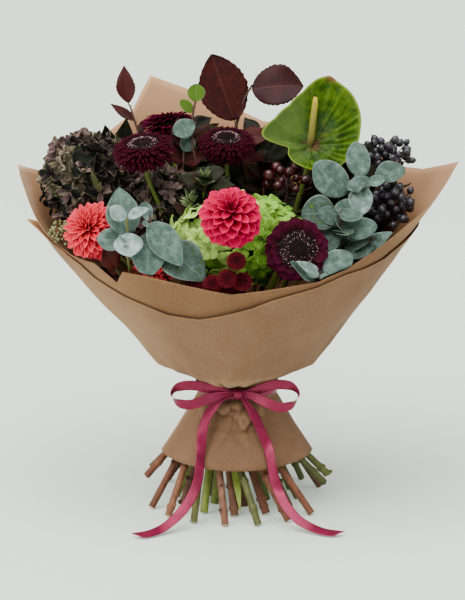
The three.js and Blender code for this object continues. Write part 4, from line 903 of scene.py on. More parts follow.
def stem_line(node, top):
    """Middle points and radii of a packed stem up to a height. A cut beyond its reach is a branch, and is left out."""
    mesh = bpy.data.objects[node].data
    places = (np.array([v.co[:] for v in mesh.vertices]) - AXIS) / MM
    mesh.calc_loop_triangles()
    corners = places[np.array([t.vertices[:] for t in mesh.loop_triangles])]
    middles, areas = [], []
    for height in np.arange(1.2, top, SLICE_STEP):
        over = corners[..., 2] > height
        cut = over.any(1) & ~over.all(1)
        falls, climbs = np.zeros((cut.sum(), 2)), np.zeros((cut.sum(), 2))
        for i in range(3):
            a, b = corners[cut][:, i], corners[cut][:, (i + 1) % 3]
            above_a, above_b = over[cut][:, i], over[cut][:, (i + 1) % 3]
            share = (height - a[:, 2]) / np.where(above_a == above_b, 1, b[:, 2] - a[:, 2])
            where = (a + (b - a) * share[:, None])[:, :2]
            falls[above_a & ~above_b] = where[above_a & ~above_b]
            climbs[~above_a & above_b] = where[~above_a & above_b]
        if middles and len(falls):
            near = np.linalg.norm(falls - middles[-1][:2], axis=1) < STEM_REACH
            falls, climbs = falls[near], climbs[near]
        if len(falls) < 3:
            continue
        area2 = falls[:, 0] * climbs[:, 1] - falls[:, 1] * climbs[:, 0]
        if abs(area2.sum()) < 2:
            continue
        middle = ((falls + climbs) * area2[:, None]).sum(0) / (3 * area2.sum())
        middles.append([*middle, height])
        areas.append(abs(area2.sum()) / 2)
    middles = np.array(middles)
    ahead = np.gradient(middles, axis=0)
    lean = ahead[:, 2] / np.linalg.norm(ahead, axis=1)
    radii = np.sqrt(np.array(areas) * lean / PENTAGON_AREA) * 0.97
    radii = np.convolve(np.pad(radii, 2, mode="edge"), np.ones(5) / 5, mode="valid")
    return middles, np.maximum(radii, 0.8)


# %% A stem from its foot up
def level_foot(path, radii):
    """The path drawn on to the surface, its cut square to the stem and its lower edge on the surface."""
    ahead = unit(path[1] - path[0])
    lean = math.hypot(ahead[0], ahead[1])
    if path[0][2] < 10:
        wanted = radii[0] * lean + 0.3
        path = path[path[:, 2] > wanted + 2]
        radii = radii[-len(path):]
        foot = path[0] - ahead * (path[0][2] - wanted) / ahead[2]
        path = np.concatenate([[foot], path])
        radii = np.concatenate([radii[:1], radii])
    return path, radii


def stem_tube(build, path, radii, draw, knots=0, low=4, high=70):
    """A stem with swollen knots, a cut foot with paler wood, and its own tone."""
    path, radii = np.asarray(path, float), np.asarray(radii, float)
    path, radii = level_foot(path, radii)
    shown = min(15, len(path) - 1)
    fine = np.concatenate([np.linspace(0, shown, shown * 3, endpoint=False), np.arange(shown, len(path))])
    smooth_path = curve_at(path, fine)
    radii = np.interp(fine, np.arange(len(path)), radii)
    tone = draw.random()
    for _ in range(knots):
        height = draw.uniform(low, high)
        radii = radii * (1 + draw.uniform(0.18, 0.4) * np.exp(-((smooth_path[:, 2] - height) / 1.8) ** 2))
        here = int(np.argmin(np.abs(smooth_path[:, 2] - height)))
        outward = unit((draw.uniform(-1, 1), draw.uniform(-1, 0.2), 0.5))
        stub = radii[here] + draw.uniform(0.6, 2.2)
        build.tube([smooth_path[here] + outward * stub * share for share in (0, 0.5, 1)],
                   radii[here] * np.array([0.6, 0.5, 0.35]), (0, 0, tone), sides=7)
    print("foot at", smooth_path[0].round().astype(int)[:2])
    build.tube(smooth_path, radii, (0, 0, tone), sides=10)
    ahead = unit(smooth_path[1] - smooth_path[0])
    build.ball(smooth_path[0], (radii[0] * 0.93, radii[0] * 0.93, 0.28), (0, 0, -1), columns=12, rows=4, axis=ahead)


# %% Stem finishes
def stem_finish(name, low, middle, high, pith, roughness, grain, shade=0.0):
    """A stem's skin: streaks along it, painted shade that darkens it towards its tip, and a paler cut."""
    made = Finish(name, Roughness=roughness)
    made.set(Specular_IOR_Level=0.4)
    along, _, draw = made.tint()
    streak = made.speckle(1.3, 3, 0.6, stretch=(1, 1, 0.12))
    blotch = made.speckle(7, 2, 0.5, stretch=(1, 1, 0.35))
    tone = made.ramp(blotch * 0.55 + streak * 0.25 + draw * 0.28, [(0.22, low), (0.52, middle), (0.8, high)])
    # Painted shade: darker towards the tip, by the shade share.
    tone = made.mix(tone, low, along.over(0.35, 0.6) * shade)
    cut = draw.over(-0.4, -0.6)
    made.set(Base_Color=made.mix(tone, pith, cut))
    made.set(Roughness=roughness + streak * 0.15)
    made.set(Normal=made.bump(streak * 0.7 + blotch * 0.3, grain))
    return made


FRESH = stem_finish("fresh_stem", (0.04, 0.06, 0.006), (0.1, 0.14, 0.012), (0.2, 0.25, 0.03), (0.3, 0.32, 0.12),
                    0.42, 0.12)
DARK = stem_finish("dark_stem", (0.022, 0.025, 0.004), (0.06, 0.064, 0.01), (0.12, 0.125, 0.022), (0.24, 0.22, 0.08),
                   0.5, 0.15)
BROWN = stem_finish("brown_stem", (0.05, 0.014, 0.005), (0.15, 0.05, 0.021), (0.26, 0.11, 0.052),
                    (0.4, 0.24, 0.13), 0.62, 0.3)
TWIG = stem_finish("twig", (0.03, 0.011, 0.006), (0.11, 0.043, 0.022), (0.24, 0.105, 0.058),
                   (0.4, 0.25, 0.14), 0.66, 0.28, shade=0.8)
PALE = stem_finish("pale_leaf", (0.09, 0.14, 0.012), (0.22, 0.3, 0.03), (0.38, 0.46, 0.09), (0.4, 0.42, 0.2), 0.5, 0.1)
print("finishes:", len(bpy.data.materials))

# %% Where the blooms are
GERBERAS = [
    dict(node="gerbera_left", at=(-95, -48, 387), faces=(-0.12, -0.3, 1), radius=35),
    dict(node="gerbera_middle", at=(-11, 8, 386), faces=(0, -0.36, 1), radius=33.5),
    dict(node="gerbera_front", at=(59, -112, 292), faces=(0.1, -0.92, 0.36), radius=33),
    dict(node="gerbera_back", at=(-73, 58, 398), faces=(-0.1, 0.32, 1), radius=32),
]
DAHLIAS = [
    dict(node="dahlia_pink", at=(-6, -119, 325.5), faces=(0, -0.76, 0.68), radius=33),
    dict(node="dahlia_coral", at=(-144, -76, 304), faces=(-0.35, -0.85, 0.4), radius=30),
    dict(node="dahlia_low", at=(-86, -72, 259), faces=(-0.2, -0.85, 0.5), radius=23),
]
HYDRANGEAS = [
    dict(node="hydrangea_dark_left", at=(-153, 8, 341), faces=(-0.35, -0.25, 1), size=(45, 44, 50), floret=13.0),
    dict(node="hydrangea_dark_middle", at=(-79, -2, 320), faces=(0, -0.6, 0.8), size=(37, 36, 36), floret=12.0),
    dict(node="hydrangea_green", at=(0, -53, 289), faces=(0.05, -0.55, 0.85), size=(71, 45, 48), floret=12.5),
]
ANTHURIUM = dict(node="anthurium", at=(76, 18, 379), faces=(-0.12, -0.86, 0.5), length=68)
SINGLE_STEMS = [
    *[(one, 0.27 * one["radius"], FRESH, "fresh_stem", 0) for one in GERBERAS],
    *[(one, 0.56 * one["radius"], DARK, "dark_stem", 1) for one in DAHLIAS],
    *[(one, 0.6 * one["size"][2], BROWN, "brown_stem", 3) for one in HYDRANGEAS],
    (ANTHURIUM, 1.5, FRESH, "fresh_stem", 0),
]
print(len(SINGLE_STEMS), "stems with one bloom each")


# %% Single-bloom stems
def stripped_leaf(node, path, radii, aside, foot):
    """A pointed leaf that was pulled off its stem and still lies along it, its point down."""
    upper = path[np.argmin(np.abs(path[:, 2] - 66))]
    lower = path[np.argmin(np.abs(path[:, 2] - foot))]
    forward = np.array([aside, -1.0, 0]) * (radii[0] + 0.6)
    shed = Builder()
    leaf(shed, upper + forward, lower + forward * 1.4, 8, random.Random(9), look=(0.3, -1, 0.1), arch=0.02,
         tone=0.9, **shaped(GREEN_SHAPE))
    shed.piece(f"{node}_stripped_leaf", PALE, [node], "fresh_stem")


for i, (one, depth, finish, slot, knots) in enumerate(SINGLE_STEMS):
    axis = unit(one["faces"])
    seat = np.array(one["at"]) - axis * depth
    bend = seat - axis * 11 - np.array([0, 0, 7.7])
    middles, radii = stem_line(f"{one['node']}_stem", bend[2] - 2)
    path = np.concatenate([middles, [seat - axis * 7, seat, seat + axis * 2]])
    radii = np.concatenate([radii, [radii[-1]] * 3])
    stem = Builder()
    stem_tube(stem, path, radii, random.Random(100 + i), knots)
    if one["node"] == "gerbera_middle":
        stripped_leaf("gerbera_middle_stem", path, radii, 0.2, 14)
    stem.piece(f"{one['node']}_stalk", finish, [f"{one['node']}_stem"], slot)

# %% [markdown]
# ## Binding
# Under the paper the stems are held by turns of natural twine. It shows only from below, and is wound as
# a real cord would be: turns side by side, with the next layer in the grooves of the first.

# %% Wind the twine
TWINE_RADIUS = 0.85
TWINE_LAYERS = ((34.0, 6, -5.1), (35.5, 5, -4.2))
TWINE = Finish("twine", Roughness=0.9)
twist = TWINE.speckle(0.8, 2, 0.6, stretch=(1, 1, 2.2))
TWINE.set(Base_Color=TWINE.ramp(twist, [(0.3, (0.17, 0.1, 0.045)), (0.6, (0.36, 0.24, 0.12)), (0.8, (0.5, 0.36, 0.2))]))
TWINE.set(Normal=TWINE.bump(twist, 0.4))
winding = Builder()
for radius, turns, low in TWINE_LAYERS:
    t = np.linspace(0, turns, turns * 72)
    helix = np.stack([radius * np.cos(t * math.tau), radius * np.sin(t * math.tau),
                      TIE_HEIGHT + low + t * 2 * TWINE_RADIUS], -1)
    winding.tube(helix, TWINE_RADIUS, (0, 0, 0.5), sides=7)
winding.piece("stem_binding_twine", TWINE, ["stem_binding"], "twine", inside=False)

# %% [markdown]
# ## Petal finish
# Petals are matt, some let a little light through, and all have fine veins along them and a paler or
# brighter rim, partly their own colour and partly painted highlight. The builder stored how far along
# and across each point is, and a draw for each petal, so one finish gives every petal of a bloom its own tone.


# %% Petals
PETAL_ROUGHNESS = 0.6


def petal_finish(name, root, middle, tip, rim, rim_share, veins, gloss, spread=0.3, glow=0.0):
    """A petal's colour from root to tip, its rim, its veins, how much petals differ and how much light they pass."""
    made = Finish(name, Roughness=PETAL_ROUGHNESS)
    made.set(Specular_IOR_Level=gloss)
    made.set(Subsurface_Weight=glow, Subsurface_Radius=(1, 0.35, 0.45), Subsurface_Scale=0.0012)
    along, across, draw = made.tint()
    lines = (across * 16 + along * 2).sine() * 0.5 + 0.5
    cloud = made.speckle(4, 3, 0.6)
    tone = made.ramp(along + (draw - 0.5) * spread + (cloud - 0.5) * 0.15, [
        (0.12, root), (0.55, middle), (0.9, tip)])
    edge = across.size().over(0.78, 1.0)
    end = along.over(0.9, 1.0)
    either = edge + end - edge * end
    # The rim is partly the petal's own colour and partly painted highlight on its edges and tip.
    tone = made.mix(tone, rim, either * along.over(0.25, 0.7) * rim_share)
    made.set(Base_Color=made.mix(tone, made.mix(tone, root, 0.6), lines * veins * (1 - either)))
    made.set(Roughness=PETAL_ROUGHNESS + cloud * 0.12)
    made.set(Normal=made.bump(lines * 0.6 + cloud * 0.4, 0.12))
    return made


BURGUNDY = petal_finish("burgundy_petal", (0.004, 0.0003, 0.001), (0.015, 0.0006, 0.003), (0.04, 0.0012, 0.009),
                        (0.085, 0.004, 0.02), rim_share=0.5, veins=0.4, gloss=0.05)
PLUM = petal_finish("plum_petal", (0.003, 0.0002, 0.0006), (0.014, 0.0003, 0.003), (0.04, 0.0006, 0.011),
                    (0.06, 0.001, 0.017), rim_share=0.35, veins=0.3, gloss=0.05)
MAGENTA = petal_finish("magenta_petal", (0.01, 0.0004, 0.003), (0.045, 0.001, 0.011), (0.09, 0.002, 0.022),
                       (0.16, 0.006, 0.04), rim_share=0.5, veins=0.3, gloss=0.05)
GARNET = petal_finish("garnet_petal", (0.006, 0.0003, 0.001), (0.035, 0.001, 0.003), (0.075, 0.0025, 0.006),
                      (0.22, 0.014, 0.03), rim_share=0.6, veins=0.3, gloss=0.05)
PINK = petal_finish("pink_petal", (0.16, 0.0002, 0.01), (0.48, 0.0003, 0.042), (0.62, 0.0003, 0.075),
                    (0.74, 0.012, 0.135), rim_share=0.45, veins=0.2, spread=0.35, gloss=0.04, glow=0.12)
CORAL = petal_finish("coral_petal", (0.28, 0.001, 0.005), (0.58, 0.01, 0.026), (0.74, 0.033, 0.066),
                     (0.84, 0.13, 0.17), rim_share=0.5, veins=0.2, spread=0.3, gloss=0.08, glow=0.35)
print("finishes:", len(bpy.data.materials))

# %% [markdown]
# ## Gerberas
# Three of the gerberas are of the kind with eight rows of very narrow petals, the lowest of which hang
# down. The front one has three rows of broad petals. All have a disc of tiny buds set in spirals, dark in
# the middle, and below it a green cup of scales that the stem runs into.

# %% Rows of petals
ROW_PARTS = ("count", "out", "up", "length", "width", "pitch", "bend")
NARROW_ROWS = [dict(zip(ROW_PARTS, row)) for row in [
    (50, 0.2, -0.2, 0.5, 0.085, -1.05, -0.25),
    (60, 0.24, -0.16, 0.6, 0.078, -0.72, -0.3),
    (66, 0.27, -0.12, 0.68, 0.078, -0.46, -0.3),
    (70, 0.3, -0.08, 0.68, 0.078, -0.22, -0.3),
    (70, 0.33, -0.04, 0.63, 0.078, 0.0, -0.32),
    (68, 0.36, 0.0, 0.5, 0.075, 0.18, -0.4),
    (64, 0.39, 0.03, 0.34, 0.065, 0.34, -0.45),
    (60, 0.42, 0.06, 0.2, 0.05, 0.5, -0.5),
]]
DOMED_ROWS = [dict(row, out=row["out"] * 0.6, pitch=row["pitch"] + 0.3, length=row["length"] * 1.15, width=0.1)
              for row in NARROW_ROWS]
BROAD_ROWS = [dict(zip(ROW_PARTS, row)) for row in [
    (17, 0.34, -0.08, 0.64, 0.42, 0.0, -0.2),
    (17, 0.36, -0.03, 0.62, 0.4, 0.1, -0.22),
    (16, 0.38, 0.01, 0.5, 0.34, 0.22, -0.26),
]]
CUP_SCALES = 26
print("petals of a narrow-petalled bloom:", sum(row["count"] for row in NARROW_ROWS))


# %% Grow a gerbera
GOLDEN_ANGLE = math.pi * (3 - math.sqrt(5))


def gerbera(node, at, faces, radius, seed, ring_rows, disc, lit_from, lit_share, finish):
    """One bloom: its rows of petals, its disc of buds and its cup of scales."""
    draw = random.Random(seed)
    rays = Builder()
    for row, ring in enumerate(ring_rows):
        for k in range(ring["count"]):
            azimuth = (k + 0.5 * row) * math.tau / ring["count"] + draw.uniform(-0.06, 0.06)
            grid, parts = petal(ring["length"] * radius * draw.uniform(0.88, 1.03), ring["width"] * radius, draw,
                                pitch=ring["pitch"] + draw.uniform(-0.1, 0.1),
                                bend=ring["bend"] + draw.uniform(-0.15, 0.12), cup=0.55, cup_tip=0.3,
                                peak=0.7, root=0.6, tip=0.48, foot=0.4, ruffle=0.03, notch=0.03,
                                rows=6 if ring["width"] < 0.2 else 8, columns=3 if ring["width"] < 0.2 else 9)
            grid = set_round(grid, azimuth, ring["out"] * radius, ring["up"] * radius)
            add_petal(rays, grid, parts, draw.random(), 0.4, at, faces)
    rays.piece(f"{node}_rays", finish, [node], "burgundy_petal")
    heart = Builder()
    heart.ball(put([0, 0, 0.02 * radius], at, faces), (disc * radius, disc * radius, 0.1 * radius), (0, 0, 0),
               columns=32, rows=12, axis=faces)
    florets = int(900 * disc ** 1.1)
    for k in range(florets):
        share = math.sqrt((k + 0.5) / florets)
        out = 0.98 * disc * share
        spot = [out * radius * math.cos(k * GOLDEN_ANGLE), out * radius * math.sin(k * GOLDEN_ANGLE),
                radius * (0.02 + 0.1 * math.sqrt(max(0, 1 - share ** 2)))]
        bright = share > lit_from and draw.random() < lit_share
        tone = draw.uniform(0.45, 0.95) if bright else draw.uniform(0, 0.45)
        across, tall = (0.27, 1.3) if bright else (0.5, 0.75)
        lean = 1.1 if bright else 0.4
        heart.ball(put(spot, at, faces), (across, across, tall), (0, 0, tone), columns=5, rows=4,
                   axis=axes_along(faces) @ unit((spot[0] * lean, spot[1] * lean, radius * 0.4)))
    heart.piece(f"{node}_disc", DISC, [node], "burgundy_petal")
    cup = Builder()
    profile_steps = np.array([[0, 0, -0.28], [0, 0, -0.22], [0, 0, -0.14], [0, 0, -0.07], [0, 0, -0.03]]) * radius
    cup.tube(put(profile_steps, at, faces), np.array([0.1, 0.17, 0.23, 0.25, 0.22]) * radius, (0, 0, 0.5), sides=20)
    for k in range(CUP_SCALES):
        grid, parts = petal(0.22 * radius, 0.075 * radius, draw, pitch=0.9, bend=-0.35, cup=0.3, tip=1.0, rows=5,
                            columns=3)
        grid = set_round(grid, k * math.tau / CUP_SCALES, 0.16 * radius, -0.22 * radius)
        add_petal(cup, grid, parts, draw.random(), 0.35, at, faces)
    cup.piece(f"{node}_cup", FRESH, [node], "fresh_stem")


# %% The four gerberas
DISC = Finish("gerbera_disc", Roughness=0.7)
DISC.set(Specular_IOR_Level=0.1)
disc_lit = DISC.tint()[2]
DISC.set(Base_Color=DISC.ramp(disc_lit, [(0.1, (0.003, 0.001, 0.0015)), (0.4, (0.02, 0.003, 0.006)),
                                         (0.7, (0.3, 0.13, 0.15)), (1.0, (0.8, 0.55, 0.56))]))
BRIGHT_DISC = dict(ring_rows=NARROW_ROWS, disc=0.48, lit_from=0.6, lit_share=0.62, finish=BURGUNDY)
GERBERA_LOOKS = {
    "gerbera_left": BRIGHT_DISC,
    "gerbera_middle": BRIGHT_DISC,
    "gerbera_front": dict(ring_rows=BROAD_ROWS, disc=0.62, lit_from=0.42, lit_share=0.3, finish=PLUM),
    "gerbera_back": dict(ring_rows=DOMED_ROWS, disc=0.3, lit_from=0.6, lit_share=0.3, finish=MAGENTA),
}
for i, one in enumerate(GERBERAS):
    gerbera(**one, seed=300 + i, **GERBERA_LOOKS[one["node"]])

# %% [markdown]
# ## Ball dahlias
# A ball dahlia is a spiral of rolled petals: small and shut at the middle, larger and open outwards,
# and turned back under the ball at the stem. Each petal is a spoon whose sides roll inwards.


# %% Grow a dahlia
def dahlia(node, at, faces, radius, finish, slot, seed, count, widest, wide, point, rolled, curl,
           flatter, fine):
    """One ball of petals, each from its root on a small inner ball to its tip on the outer one."""
    draw = random.Random(seed)
    ball = Builder()
    for k in range(count):
        share = (k + 0.5) / count
        tilt = math.radians(5 + (widest - 5) * share ** 0.62 + draw.uniform(-1.5, 1.5))
        back = max(0.0, tilt - math.radians(26 - 10 * share))
        root = np.array([0.46 * math.sin(back), 0.46 * math.cos(back) * 0.85]) * radius
        reach = 1 - 0.12 * draw.random()
        tip = np.array([math.sin(tilt), math.cos(tilt) * 0.85]) * radius * reach
        run = tip - root
        opening = smooth(share, 0, 0.4)
        grid, parts = petal(
            np.linalg.norm(run), radius * (0.12 + wide * math.sin(min(tilt, 1.6)) ** 0.9) * draw.uniform(0.9, 1.06),
            draw, pitch=math.atan2(run[1], run[0]) - curl / 2 + draw.uniform(-0.12, 0.12), bend=curl,
            cup=rolled, cup_tip=rolled - flatter * opening, peak=0.6, root=0.5, tip=point,
            foot=0.35, ruffle=0.015, rows=8, columns=fine)
        grid = set_round(grid, k * GOLDEN_ANGLE + draw.uniform(-0.05, 0.05), root[0], root[1])
        # The tight petals in the middle get darker tones: painted shade in the hollow at the middle of the ball.
        shut = 1 - smooth(share, 0, 0.14)
        add_petal(ball, grid, parts, draw.random() * 0.7 + 0.3 * share - 0.8 * shut, 0.4, at, faces)
    ball.ball(put([0, 0, 0], at, faces), np.array([0.5, 0.5, 0.42]) * radius, (0, 0, 0), columns=20, rows=12,
              axis=faces)
    ball.piece(f"{node}_petals", finish, [node], slot)


# %% The three dahlias
CORAL_RADIUS = 32.5
dahlia(**DAHLIAS[0], finish=PINK, slot="pink_petal", seed=411, count=92, widest=127, wide=0.34, point=0.5,
       rolled=1.3, curl=0.45, flatter=0.25, fine=9)
CORAL_LOOKS = dict(finish=CORAL, slot="coral_petal", point=0.75, rolled=1.35, flatter=0.1, fine=7)
dahlia(**{**DAHLIAS[1], "radius": CORAL_RADIUS}, **CORAL_LOOKS, seed=422, count=140, widest=120, wide=0.15, curl=0.05)
dahlia(**DAHLIAS[2], **CORAL_LOOKS, seed=433, count=100, widest=112, wide=0.18, curl=0.1)

# %% [markdown]
# ## Hydrangeas
# A hydrangea head is a dome of small flowers of four round petals that overlap at their edges. About a
# hundred of them sit on a core coloured near black, as painted shade for the inside of the head. The old
# heads have dried to brown, olive and mauve; the fresh one is lime green with paler rims.


# %% Even spread of directions
def cap_directions(count, widest):
    """Directions spread evenly over a cap round z, as wide as the degrees given."""
    low = math.cos(math.radians(widest))
    for k in range(count):
        z = 1 - (k + 0.5) / count * (1 - low)
        flat = math.sqrt(1 - z * z)
        azimuth = k * GOLDEN_ANGLE
        yield np.array([flat * math.cos(azimuth), flat * math.sin(azimuth), z])


# %% Grow a hydrangea
HEAD_WIDEST = 124


def hydrangea(node, at, faces, size, floret, finish, slot, seed, count, tone, ruffle, open_to, tilt, uneven,
              tip=0.5, breadth=1.08, cup=0.35):
    """One head: its florets, each of four petals round a bead, and the core that they sit on, near black as painted
    shade.
    """
    draw = random.Random(seed)
    size = np.array(size, float)
    head = Builder()
    for direction in cap_directions(count, HEAD_WIDEST):
        depth = draw.uniform(0.86, 0.98) + uneven * noise.noise(Vector(direction * 2.3) + Vector((seed, 0, 0)))
        outward = direction / size
        centre = put(direction * size * depth, at, faces)
        normal = axes_along(faces) @ unit(outward)
        normal = unit(normal + np.array([draw.uniform(-tilt, tilt) for _ in range(3)]))
        turn = draw.uniform(0, math.tau)
        own = tone(direction, draw)
        reach = floret * draw.uniform(0.8, 1.12)
        pointed = tip(centre) if callable(tip) else tip
        for j in range(4):
            grid, parts = petal(reach, reach * (breadth if pointed < 0.7 else 0.72), draw,
                                pitch=draw.uniform(0.0, open_to), bend=draw.uniform(-0.6, 0.1), cup=cup, peak=0.6,
                                root=0.55, tip=pointed, foot=0.2, ruffle=ruffle, rows=5, columns=5)
            grid = set_round(grid, j * math.pi / 2, 0.3, -0.3 * (j % 2))
            add_petal(head, grid, parts, own + draw.uniform(-0.06, 0.06), 0.35, centre, normal, turn)
        head.ball(centre + normal * 0.8, (0.9, 0.9, 0.9), (0.3, 0, own), columns=5, rows=4)
    head.piece(f"{node}_florets", finish, [node], slot)
    inside = Builder()
    inside.ball(at, size * 0.84, (0, 0, 0.3), columns=28, rows=18, axis=faces)
    inside.piece(f"{node}_core", CORE, [node], slot)


# %% Floret finishes
# Near black all over: painted shade for the inside of a head, between the florets.
CORE = Finish("hydrangea_core", Roughness=0.95)
core_noise = CORE.speckle(3, 3, 0.6)
CORE.set(Base_Color=CORE.ramp(core_noise, [(0.3, (0.004, 0.006, 0.003)), (0.7, (0.02, 0.026, 0.012))]))
CORE.set(Normal=CORE.bump(core_noise, 1.5))


def floret_finish(name, stops, rim, rim_share, roughness, striped, glow=0.0, dried=0.0):
    """Florets that each take their own colour from a row of tones."""
    made = Finish(name, Roughness=roughness)
    made.set(Specular_IOR_Level=0.12)
    made.set(Subsurface_Weight=glow, Subsurface_Radius=(0.7, 1, 0.3), Subsurface_Scale=0.0012)
    along, across, draw = made.tint()
    cloud = made.speckle(5, 3, 0.6)
    lines = (across * 14 + along * 3).sine() * 0.5 + 0.5
    own = made.ramp(draw + (cloud - 0.5) * 0.35, stops)
    edge = across.size().over(0.72, 1.0)
    end = along.over(0.84, 1.0)
    either = edge + end - edge * end
    # Petals are darker towards the middle of the floret: painted shade where they meet; the dark stripes are their own.
    deep = made.mix(own, (0.02, 0.02, 0.01), along.over(0.4, 0.0) * 0.5 * (1 - striped))
    deep = made.mix(deep, (0.002, 0.002, 0.001), lines.over(0.4, 0.8) * striped)
    # The paler rim is partly the petals' own edge and partly painted highlight; on dried florets it shows only in
    # patches.
    rim_patches = made.speckle(11, 2, 0.5).over(0.42, 0.62)
    made.set(Base_Color=made.mix(deep, rim, either * rim_share * (1 - dried + rim_patches * dried)))
    made.set(Roughness=roughness + cloud * 0.15)
    made.set(Normal=made.bump(lines * 0.5 + cloud * 0.5, 0.2))
    return made


ANTIQUE = floret_finish("antique_petal", [
    (0.05, (0.005, 0.0042, 0.0045)), (0.3, (0.02, 0.0145, 0.015)), (0.5, (0.05, 0.035, 0.034)),
    (0.68, (0.11, 0.1, 0.055)), (0.84, (0.15, 0.075, 0.095)), (1.0, (0.34, 0.28, 0.19))],
    (0.24, 0.2, 0.12), 0.5, 0.7, 0.7, dried=0.9)
LIME = floret_finish("lime_petal", [
    (0.05, (0.03, 0.1, 0.006)), (0.3, (0.09, 0.24, 0.014)), (0.6, (0.2, 0.42, 0.035)),
    (0.85, (0.33, 0.58, 0.075)), (1.0, (0.46, 0.68, 0.16))],
    (0.46, 0.66, 0.16), 0.35, 0.6, 0.2, glow=0.15)


# %% Which floret gets which tone
def painted_light_at_left_and_crown(direction, draw):
    """Painted light and shade: paler at the left and on the crown, where light falls, darker low down and at the right.
    """
    return min(1.0, max(0.0, 0.58 + 0.25 * direction[2] - 0.55 * direction[0] + draw.uniform(-0.15, 0.3)))


def olive_in_painted_light(direction, draw):
    """Pale olive tones are the florets' own; more of them sit on the left and the crown as painted light, and the rest
    are dark as painted shade.
    """
    faded = 0.42 - 0.3 * direction[0] + 0.12 * direction[2]
    return draw.uniform(0.62, 1.0) if draw.random() < faded else draw.uniform(0.0, 0.42)


def mauve(direction, draw):
    """Most of the florets keep their mauve, on every side."""
    return draw.uniform(0.7, 1.0) if draw.random() < 0.65 else draw.uniform(0.35, 0.6)


def stars_at_right(centre):
    """The youngest florets, at the right, still have pointed petals."""
    return 1.15 if centre[0] > 38 else 0.5


# %% The three heads
hydrangea(**HYDRANGEAS[0], finish=ANTIQUE, slot="antique_petal", seed=511, count=125, ruffle=0.16, open_to=1.3,
          tilt=0.8, uneven=0.16, breadth=0.78, cup=0.9, tone=olive_in_painted_light)
hydrangea(**HYDRANGEAS[1], finish=ANTIQUE, slot="antique_petal", seed=522, count=85, ruffle=0.14, open_to=1.2,
          tilt=0.7, uneven=0.14, breadth=0.8, cup=0.8, tone=mauve)
hydrangea(**HYDRANGEAS[2], finish=LIME, slot="lime_petal", seed=533, count=118, ruffle=0.07, open_to=0.5, tilt=0.35,
          uneven=0.08, tip=stars_at_right, tone=painted_light_at_left_and_crown)

# %% Young leaves between the dark florets
young, draw = Builder(), random.Random(540)
for tip in [(-147, -52, 362), (-138, -54, 350)]:
    leaf(young, (-140, -47, 340), tip, 6, draw, tone=0.1, **shaped(GREEN_SHAPE))
young.piece("hydrangea_young_leaf", DARK, ["hydrangea_dark_left"], "antique_petal")

# %% [markdown]
# ## Anthurium
# The spathe is one thick heart-shaped leaf, dished, with ribs that run out from the foot of its spadix
# and puckers between them. It is a round grid: rings from the foot to the rim. The spadix is a finger
# covered in tiny buds, which are set in spirals as real ones are.

# %% Shape the spathe
SPATHE_DEGREES = [-180, -171, -150, -132, -120, -112, -100, -92, -86, -80, -59, -31, -9, 5, 14.5, 21, 35, 55, 76, 95,
                  119, 140, 160, 180]
SPATHE_REACH = [33, 32, 30, 27, 23, 24, 34, 45, 49.5, 49, 42, 43.5, 53.5, 69, 75, 71.5, 69, 62, 54, 50, 46, 41, 36, 33]
SPATHE_LENGTH = ANTHURIUM["length"]

angle = np.linspace(-math.pi, math.pi, 216, endpoint=False)[None, :]
share = np.linspace(0.01, 1, 28)[:, None]
outline = np.interp(np.degrees(angle), SPATHE_DEGREES, SPATHE_REACH)
soft = np.ones(3) / 3
outline = np.convolve(np.concatenate([outline[0, -1:], outline[0], outline[0, :1]]), soft, mode="valid")[None, :]
reach = outline * share
rightward = smooth(np.sin(angle), -0.2, 0.6)
dish = SPATHE_LENGTH * (0.16 * share ** 2 + 0.1 * share ** 3 * (1 - rightward))
ribs = np.cos(angle * 6.0) * share * (1 - share) * 2.0
margin = smooth(share, 0.45, 0.7) * (1 - smooth(share, 0.86, 0.98))
puckers = np.sin(angle * 34 + share * 4) * 1.5 * margin
swells = np.sin(angle * 15) * share * (1 - share) * 1.6
relief = dish + ribs + (puckers + swells) * rightward + 0.9 * np.sin(angle * 4) * share ** 4
spathe_grid = np.stack(np.broadcast_arrays(reach * np.sin(angle), reach * np.cos(angle), relief), -1)
spathe_tint = np.stack(np.broadcast_arrays(share, np.cos(angle - 0.27), angle / math.pi), -1)
spathe = Builder()
spathe.sheet(put(spathe_grid[:, ::-1], ANTHURIUM["at"], ANTHURIUM["faces"]), spathe_tint[:, ::-1], 0.9,
             round_shut=True)
print("the spathe is", round(float(2 * reach.max())), "mm across at most")

# %% Spathe finish
SPATHE = Finish("spathe", Roughness=0.34)
SPATHE.set(Specular_IOR_Level=0.08)
out, up_share, around = SPATHE.tint()
ribs_lit = ((around * math.pi * 6.0).sine().size()).over(0.25, 0.0)
mottle = SPATHE.speckle(9, 3, 0.6)
green = SPATHE.ramp(mottle + (out - 0.5) * 0.25, [
    (0.3, (0.006, 0.021, 0.0005)), (0.5, (0.018, 0.05, 0.0008)), (0.7, (0.052, 0.1, 0.0015))])
left = (around * math.pi).sine().over(0.15, -0.6) * out.over(0.1, 0.7)
green = SPATHE.mix(green, (0.075, 0.125, 0.027), left * 0.75)
green = SPATHE.mix(green, (0.14, 0.22, 0.012), ribs_lit * 0.2 * out.over(0.05, 0.5))
rim = SPATHE.mix(green, (0.2, 0.26, 0.02), out.over(0.95, 1.0) * 0.6)
blush = SPATHE.speckle(16, 2, 0.5).over(0.45, 0.7)
tip_blush = up_share.over(0.994, 1.0) * out.over(0.9, 1.0)
foot_blush = out.over(0.45, 0.05)
SPATHE.set(Base_Color=SPATHE.mix(rim, (0.13, 0.03, 0.02), tip_blush * 0.9 + foot_blush * blush * 0.5))
SPATHE.set(Roughness=0.3 + mottle * 0.15)
SPATHE.set(Normal=SPATHE.bump(SPATHE.speckle(2.5, 3, 0.6), 0.25))
spathe.piece("anthurium_spathe_leaf", SPATHE, ["anthurium_spathe"], "spathe_green")

